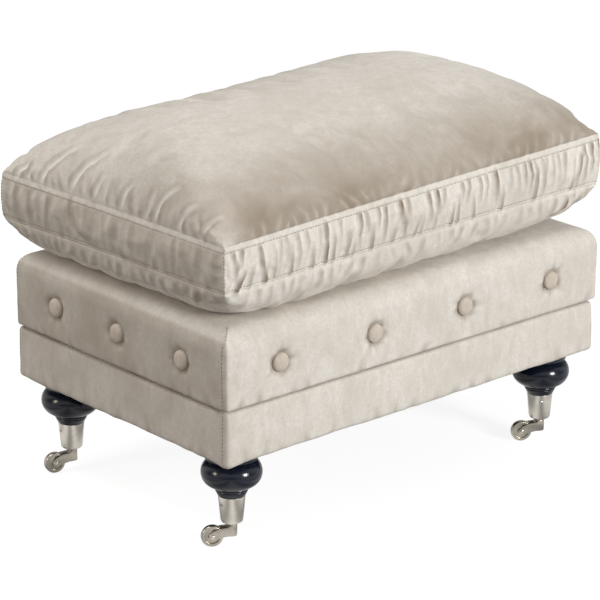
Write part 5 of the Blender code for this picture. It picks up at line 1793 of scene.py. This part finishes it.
    def stuff(self, form: Form, seam_distance: np.ndarray) -> None:
        """Fills the case: a cloth simulation with the seams held, which puffs and puckers the panels.

        Args:
            form: The case, changed in place.
            seam_distance: Distance of each point from a seam.
        """
        start = form.points.copy()
        obj = link("case_filling", form.mesh("case_filling"))
        held = obj.vertex_groups.new(name="seams")
        weights = np.clip(1.25 - seam_distance / 0.012, 0, 1)
        x, y, z = start.T
        at_zip = (y > self.depth / 2 - 0.02) & (np.abs(x) < self.zip_half + 0.01)
        weights[at_zip & (z < self.deck + self.seam_height)] = 1
        weights[z < self.rest + 0.0004] = 1
        for level in range(1, 9):
            chosen = np.where(np.ceil(weights * 8) == level)[0]
            if len(chosen):
                held.add(chosen.tolist(), level / 8, "REPLACE")
        cloth = obj.modifiers.new("filling", "CLOTH")
        settings = cloth.settings
        settings.use_pressure, settings.uniform_pressure_force = True, 4.0
        settings.vertex_group_mass, settings.pin_stiffness = "seams", 1.0
        settings.shrink_min = -0.035
        settings.quality, settings.mass = 5, 0.3
        settings.tension_stiffness = settings.compression_stiffness = 12.0
        settings.shear_stiffness, settings.bending_stiffness = 4.0, 0.35
        settings.effector_weights.gravity = 0.0
        cloth.collision_settings.use_collision = False
        cloth.point_cache.frame_start, cloth.point_cache.frame_end = 1, 20
        scene = bpy.context.scene
        for number in range(1, 21):
            scene.frame_set(number)
        mesh = evaluated_mesh(obj, "case_filled")
        filled = np.empty(len(mesh.vertices) * 3)
        mesh.vertices.foreach_get("co", filled)
        scene.frame_set(1)
        travel = filled.reshape(-1, 3) - start
        form.normals()
        ends = np.vstack([form.quads[:, [k, (k + 1) % 4]] for k in range(4)])
        count = np.bincount(ends[:, 0], minlength=len(start)) + np.bincount(ends[:, 1], minlength=len(start))
        swell = travel.copy()
        for _ in range(30):
            total = np.zeros_like(swell)
            np.add.at(total, ends[:, 0], swell[ends[:, 1]])
            np.add.at(total, ends[:, 1], swell[ends[:, 0]])
            swell = 0.4 * swell + 0.6 * total / count[:, None]
        puckers = travel - swell
        for part, most in ((swell, self.most_swell), (puckers, self.most_pucker)):
            far = np.linalg.norm(part, axis=1, keepdims=True)
            part *= np.minimum(1, most / np.maximum(far, 1e-9))
        form.points = start + swell + puckers

    def gather(self, form: Form) -> None:
        """Lays the folds: those that the photo shows, and smaller ones along every seam.

        Args:
            form: The case, changed in place.
        """
        share, normals = np.linspace(0, 1, 7), form.normals()
        for fold in FOLDS:
            a = fold.start[0] + (fold.end[0] - fold.start[0]) * share
            b = fold.start[1] + (fold.end[1] - fold.start[1]) * share
            wide, deep = FOLD_SIZE[fold.panel]
            path = self.surface(fold.panel, a, b)
            form.fold(path, wide * fold.width * MM, deep * fold.depth * MM, normals, taper=0.5)
        source = random.Random(self.seed)
        for panel, half in (
            (Panel.FRONT, self.length / 2),
            (Panel.BACK, self.length / 2),
            (Panel.LEFT, self.depth / 2),
            (Panel.RIGHT, self.depth / 2),
        ):
            along, side = panel in (Panel.FRONT, Panel.BACK), -1 if panel in (Panel.FRONT, Panel.LEFT) else 1
            x = -half + 0.014
            while x < half - 0.010:
                width = source.uniform(2.8, 4.2) if along else source.uniform(4.6, 6.4)
                soft = 1.0 if along else 0.42
                reach, slant = source.uniform(0.35, 0.82), source.uniform(-0.007, 0.007)
                start, way = (0.13, 1) if source.random() < 0.68 else (0.97, -1)
                path = self.surface(panel, (x + slant * share) / half, start + way * reach * share)
                form.fold(path, width * MM, soft * source.uniform(1.3, 2.9) * MM, normals, taper=0.55)
                x += source.uniform(2.4, 4.4) * width * MM
            x = -half + 0.02
            while x < half - 0.015:
                a = (x + source.uniform(-0.02, 0.02) * share) / half
                above, below = source.uniform(0.008, 0.04), source.uniform(0.02, 0.07)
                for top, reach in ((Panel.TOP, above), (Panel.UNDERSIDE, below)):
                    b = side * (0.9996 - reach * share**1.6)
                    path = self.surface(top, a, b) if along else self.surface(top, b, a)
                    form.fold(path, source.uniform(3.4, 5.4) * MM, source.uniform(0.6, 1.6) * MM, normals)
                x += source.uniform(0.014, 0.030)

    def sew_seams(self, form: Form, rows: np.ndarray, places: np.ndarray) -> None:
        """Presses the seams in: the felled band below the top seam, the lower seam and the four corners.

        Args:
            form: The case, changed in place.
            rows: The border's point numbers by row and column.
            places: The (u, v) of each column.
        """
        drops, b = self.drops(), self.border
        low = b - self.low_stitch
        presses = {0.0: -1.3, 0.0012: -0.3, 0.0030: 0.35, 0.0050: 0.45, 0.0066: 0.1, 0.0088: -0.25}
        presses |= {self.band: -0.9}
        presses |= {low - 0.0014: -0.1, low: -0.7, low + 0.0013: 0.0, b - 0.0011: 0.1, b: -1.1}
        # At the left end the band rolls over to face up, so that only its stitching shows
        rolled = {0.0: -0.35, 0.0012: -0.3, 0.0030: -0.25, 0.0050: -0.15, 0.0066: -0.2}
        normals, left = form.normals(), places[:, 0] < -1 + 1e-9
        for row, drop in enumerate(drops):
            for key, press in presses.items():
                if abs(drop - key) < 1e-6:
                    amount = np.where(left, rolled.get(key, press), press) * MM
                    form.points[rows[row]] += normals[rows[row]] * amount[:, None]
        at_corner = np.where((np.abs(places) > 1 - 1e-9).all(1))[0]
        middle = rows[2:-2][:, at_corner]
        form.points[middle] -= normals[middle] * 0.9 * MM

    def recess(self, form: Form, rows: np.ndarray) -> float:
        """Levels the border's rows at the zip and sinks them behind its tape.

        Args:
            form: The case, changed in place.
            rows: The border's point numbers by row and column.

        Returns:
            The y of the tape's outer face.
        """
        face = float(self.rim_point(np.array(0.0), np.array(1.0), self.border / 3)[1]) - 0.0005
        level = float(self.seam(0, 1, self.border / 2)[2])
        for row, drop in enumerate(self.drops()):
            away = abs(drop - self.border / 2)
            if away > 0.0062:
                continue
            for number in rows[row]:
                x, y, z = form.points[number]
                if y < self.depth / 2 - 0.02 or abs(x) > self.zip_half + 0.012:
                    continue
                share = min(1, max(0, (self.zip_half + 0.010 - abs(x)) / 0.008))
                target = face - 0.0020 if away < 0.0050 else face + 0.0004
                even = level + self.border / 2 - drop
                form.points[number] = (x, y + (target - y) * share, z + (even - z) * share)
        return face

    def flattened(self, mesh: bpy.types.Mesh) -> bpy.types.Mesh:
        """Merges the faces that lie flat on the deck, out of sight.

        Args:
            mesh: The case.

        Returns:
            The same mesh.
        """
        with edited(mesh) as bm:
            flat = [v for v in bm.verts if v.co.z < self.rest + 1e-6]
            edges = [e for e in bm.edges if max(v.co.z for v in e.verts) < self.rest + 1e-6]
            bmesh.ops.dissolve_limit(bm, angle_limit=radians(0.5), verts=flat, edges=edges)
        mesh.shade_smooth()
        return mesh

    def nap(self, points: np.ndarray) -> np.ndarray:
        """Returns where the velvet is painted browner as painted shade, for how the light falls and partly
        for the pile's lean: the top's front and right, and the ends.

        Args:
            points: The case's points in the cushion's own frame.
        """
        x, y, z = points.T
        u, v = x / (self.length / 2), y / (self.depth / 2)
        front = 0.82 * np.clip((-v - 0.46) / 0.48, 0, 1) + 0.1 * np.clip((-v - 0.88) / 0.08, 0, 1)
        front *= np.clip(0.1 + (u + 1) / 0.16, 0, 1)
        left = 0.4 * np.clip((-u - 0.75) / 0.15, 0, 1) * np.clip((0.1 - v) / 0.4, 0, 1)
        left *= np.clip((v + 1) / 0.15, 0, 1)
        seam = self.deck + self.seam_height + self.lean[0] * u
        end = 0.45 * (np.abs(u) > 0.97) * (np.abs(v) < 0.99) * (z < seam - self.band)
        return np.where(z > seam + 0.0006, np.maximum(front, left), end)

    def build(self) -> None:
        """Builds the case, its stitching and its zip."""
        fin = self.workshop.finishes
        form, rows, seam_distance, places = self.case_form()
        self.stuff(form, seam_distance)
        form.wave(0.0005, 0.15, 2, np.clip(seam_distance / 0.05, 0, 1))
        form.wave(0.0005, 0.045, 3, np.clip(seam_distance / 0.02, 0, 1))
        self.sew_seams(form, rows, places)
        face = self.recess(form, rows)
        form = form.divided()
        smooth, normals = form.points.copy(), form.normals()
        self.gather(form)
        at_zip = (smooth[:, 1] > self.depth / 2 - 0.02) & (np.abs(smooth[:, 0]) < self.zip_half + 0.012)
        at_zip &= np.abs(smooth[:, 2] - self.seam(0, 1, self.border / 2)[2]) < 0.009
        form.points[at_zip] = smooth[at_zip]
        form.points[:, 2] = np.maximum(form.points[:, 2], self.rest)
        # Painted shade and highlight: the first mark browns the top's front and right and the ends, ridge
        # lightens fold tops and darkens valleys
        ridge = ((form.points - smooth) * normals).sum(1) / (1.6 * MM)
        form.marks = {"nap": self.nap(smooth), "ridge": ridge}
        place = Matrix.Translation((*self.centre, 0)) @ Matrix.Rotation(radians(self.yaw), 4, "Z")
        form.move(place)
        mesh = self.flattened(form.mesh("cushion_case_cloth"))
        nodes = ("cushion_case", "cushion_pad")
        case = piece("cushion_case_cloth", mesh, fin.velvet, Body.CUSHION, nodes)
        tree = surface_of(mesh)
        drops = self.drops()
        paths = []
        for drop in (self.band, self.border - self.low_stitch):
            row = int(np.argmin(np.abs(drops - drop)))
            line = form.points[np.append(rows[row], rows[row][0])]
            paths.append(snapped(line, tree, 0.0001))
        for x, y in ((-1, -1), (1, -1), (1, 1), (-1, 1)):
            column = int(np.argmin(np.hypot(places[:, 0] - x, places[:, 1] - y)))
            ahead = 3 if (x, y) in ((1, -1), (-1, 1)) else -3
            beside = (column + ahead) % len(places)
            paths.append(snapped(form.points[rows[2:-2, beside]], tree, 0.0001, 4))
        self.workshop.stitches.sew("cushion_stitches", paths, fin.thread, Body.CUSHION, self.stitch)
        self.zip(place, face)

    def zip(self, place: Matrix, face: float) -> None:
        """Builds the zip in the back border: tape, teeth and slider.

        Args:
            place: Where the cushion lies.
            face: The y of the tape's outer face.
        """
        fin, half = self.workshop.finishes, self.zip_half
        level = float(self.seam(0, 1, self.border / 2)[2])
        tape = Form()
        for low, high in ((-0.0045, -0.0006), (0.0006, 0.0045), (-0.0007, 0.0007)):
            deep = 0.0003 if high - low < 0.002 else 0
            tape.block((-half, face - 0.0012, level + low), (half, face - deep, level + high), place)
        mesh = tape.mesh("zip_tape_strip", 30)
        strip = piece("zip_tape_strip", mesh, fin.tape, Body.CUSHION, ("cushion_zip",))
        # The tape is 24 mm wide and sewn under both edges of the cloth, so that 9 mm of it shows
        tooth = Form()
        tooth.block((-0.0005, -0.0013, -0.0004), (0.0005, 0.0013, 0.0009))
        out = place.to_3x3() @ Vector((0, 1, 0))
        along = place.to_3x3() @ Vector((1, 0, 0))
        places, x, number = [], -half + 0.003, 0
        while x < half - 0.003:
            offset = 0.0006 if number % 2 else -0.0006
            places.append((place @ Vector((x, face, level + offset)), out, along))
            x, number = x + 0.00125, number + 1
        mesh = tooth.mesh("tooth", 30)
        self.workshop.repeats.lay("zip_teeth", mesh, places, fin.nylon, Body.CUSHION, Slot.TAPE)
        body, front = Form(), face + 0.0015
        origin = place @ Matrix.Translation((-0.193, front, level))
        outline = [(-0.0050, 0.0020), (0.0016, 0.0037), (0.0050, 0.0034)]
        outline += [(x, -z) for x, z in reversed(outline)]
        loops = []
        for inset, y in ((0.0006, 0), (0, 0.0005), (0, 0.0012), (0.0008, 0.0018)):
            narrow, low = 1 - inset / 0.005, 1 - inset / 0.0037
            loops.append([origin @ Vector((x * narrow, y, z * low)) for x, z in outline])
        grid = body.loft(loops)
        body.close(grid[0][::-1])
        body.close(grid[-1])
        body.block((-0.0011, 0.0018, -0.0022), (0.0011, 0.0030, 0.0014), origin)
        for wide, low, high in ((0.0017, -0.0200, -0.0010), (0.0024, -0.0215, -0.0185)):
            body.block((-wide, 0.0016, low), (wide, 0.0026, high), origin)
        mesh = body.mesh("zip_slider_body", 30)
        piece("zip_slider_body", mesh, fin.zinc, Body.SLIDER, ("zip_slider",))


# Scene


@dataclass
class Studio:
    """The pale studio: camera, floor, world and lamps."""

    azimuth: float = 41.098
    elevation: float = 19.192
    eye: tuple[float, float, float] = (-2.4193, -2.7568, 1.4878)
    lens: float = 182.586
    ambient: float = 0.42

    def camera(self) -> None:
        """Sets the camera at the photograph's viewpoint."""
        data = bpy.data.cameras.new("camera")
        data.lens, data.sensor_width, data.clip_end = self.lens, 36.0, 50.0
        camera = bpy.data.objects.new("camera", data)
        a, e = radians(self.azimuth), radians(self.elevation)
        back = Vector((-sin(a) * cos(e), -cos(a) * cos(e), sin(e)))
        right = Vector((cos(a), -sin(a), 0))
        up = back.cross(right)
        matrix = Matrix((right, up, back)).transposed().to_4x4()
        matrix.translation = Vector(self.eye)
        camera.matrix_world = matrix
        bpy.context.scene.collection.objects.link(camera)
        bpy.context.scene.camera = camera

    def world(self) -> None:
        """Lights the object evenly, and shows white to the camera and soft bands in reflections."""
        world = bpy.data.worlds.new("studio")
        world.use_nodes = True
        tree = world.node_tree
        tree.nodes.clear()
        path = add_node(tree, "ShaderNodeLightPath").outputs
        way = add_node(tree, "ShaderNodeTexCoord").outputs["Generated"]
        wide = {"Vector": way, "Scale": 0.45, "Distortion": 0.3}
        bands = add_node(tree, "ShaderNodeTexWave", wide, bands_direction="DIAGONAL")
        limits = {"Value": bands.outputs[1], "To Min": 0.22, "To Max": 0.85}
        strength: Any = self.ambient
        levels = {"Is Glossy Ray": add_node(tree, "ShaderNodeMapRange", limits), "Is Camera Ray": 1.0}
        for kind, level in levels.items():
            mixed = {0: path[kind], 2: strength, 3: level}
            strength = add_node(tree, "ShaderNodeMix", mixed, data_type="FLOAT")
        light = add_node(tree, "ShaderNodeBackground", {"Color": (1, 1, 1, 1), "Strength": strength})
        add_node(tree, "ShaderNodeOutputWorld", {"Surface": light})
        bpy.context.scene.world = world

    def floor(self) -> None:
        """Builds a white floor that keeps a faint shadow of the object and glows in painted reflection
        stripes.
        """
        form = Form()
        corners = form.add([(-6, -6, -0.0001), (6, -6, -0.0001), (6, 6, -0.0001), (-6, 6, -0.0001)])
        form.faces.append(tuple(int(k) for k in corners))
        material = bpy.data.materials.new("white_floor")
        material.use_nodes = True
        tree = material.node_tree
        tree.nodes.clear()
        path = add_node(tree, "ShaderNodeLightPath").outputs
        place = add_node(tree, "ShaderNodeTexCoord").outputs["Object"]
        across = {"Vector": place, "Rotation": (0, 0, radians(self.azimuth))}
        wide = {"Vector": add_node(tree, "ShaderNodeMapping", across), "Scale": 1.9, "Distortion": 0.8}
        # Painted reflection: soft stripes of glow that only glossy rays see, which streak the metal parts
        bands = add_node(tree, "ShaderNodeTexWave", wide, bands_direction="X")
        limits = {"Value": bands.outputs[1], "To Min": 0.22, "To Max": 0.80}
        mirrored = {0: add_node(tree, "ShaderNodeMapRange", limits), 1: path["Is Glossy Ray"]}
        reflection_stripes = add_node(tree, "ShaderNodeMath", mirrored, operation="MULTIPLY")
        seen = {0: path["Is Camera Ray"], 1: 0.87, 2: reflection_stripes}
        glow = add_node(tree, "ShaderNodeMath", seen, operation="MULTIPLY_ADD")
        shine = add_node(tree, "ShaderNodeEmission", {"Color": (1, 1, 1, 1), "Strength": glow})
        paint = add_node(tree, "ShaderNodeBsdfDiffuse", {"Color": (0.24, 0.24, 0.24, 1)})
        both = add_node(tree, "ShaderNodeAddShader", {0: shine, 1: paint})
        add_node(tree, "ShaderNodeOutputMaterial", {"Surface": both})
        link("floor", form.mesh("floor"), material)

    def lamp(
        self,
        name: str,
        place: tuple[float, float, float],
        power: float,
        size: tuple[float, float],
        colour: str,
    ) -> None:
        """Hangs one softbox that looks at the object.

        Args:
            name: Its name.
            place: Where it hangs.
            power: Its power in watts.
            size: Width and height.
            colour: Colour of its light.
        """
        data = bpy.data.lights.new(name, "AREA")
        data.shape, data.energy, data.color = "RECTANGLE", power, linear(colour)[:3]
        data.size, data.size_y = size
        lamp = bpy.data.objects.new(name, data)
        lamp.matrix_world = facing(place, Vector(place) - Vector((0, 0, 0.25)))
        bpy.context.scene.collection.objects.link(lamp)

    def build(self) -> None:
        """Sets up the whole studio."""
        self.camera()
        self.world()
        self.floor()
        self.lamp("softbox_right", (0.6, -3.3, 1.3), 95.0, (0.8, 0.9), "#ffffff")
        self.lamp("softbox_left", (-3.4, 0.9, 1.5), 26.0, (0.7, 1.0), "#fff2e6")
        self.lamp("softbox_top", (-1.3, 0.8, 2.9), 31.0, (1.2, 1.2), "#ffffff")
        bpy.context.scene.view_settings.view_transform = "Standard"


def main() -> None:
    """Builds every sub-assembly in order."""
    logging.basicConfig(level=logging.INFO, format="%(message)s")
    Studio().build()
    workshop = Workshop(Palette(), Stitches(), Repeats())
    castor = Castor(workshop)
    for corner in CORNERS:
        castor.build(corner)
    dress_frame(workshop.finishes, "bottom_board", "base_rail")
    base = Base(workshop)
    base.cover()
    base.lining()
    base.dust_cloth()
    base.rim_felt()
    dress_frame(workshop.finishes, "deck_board", "lid_rail")
    lid = Lid(workshop)
    lid.button_spots()
    lid.cover()
    lid.covered_buttons()
    lid.lining()
    lid.hinge()
    Cushion(workshop).build()


if __name__ == "__main__":
    main()
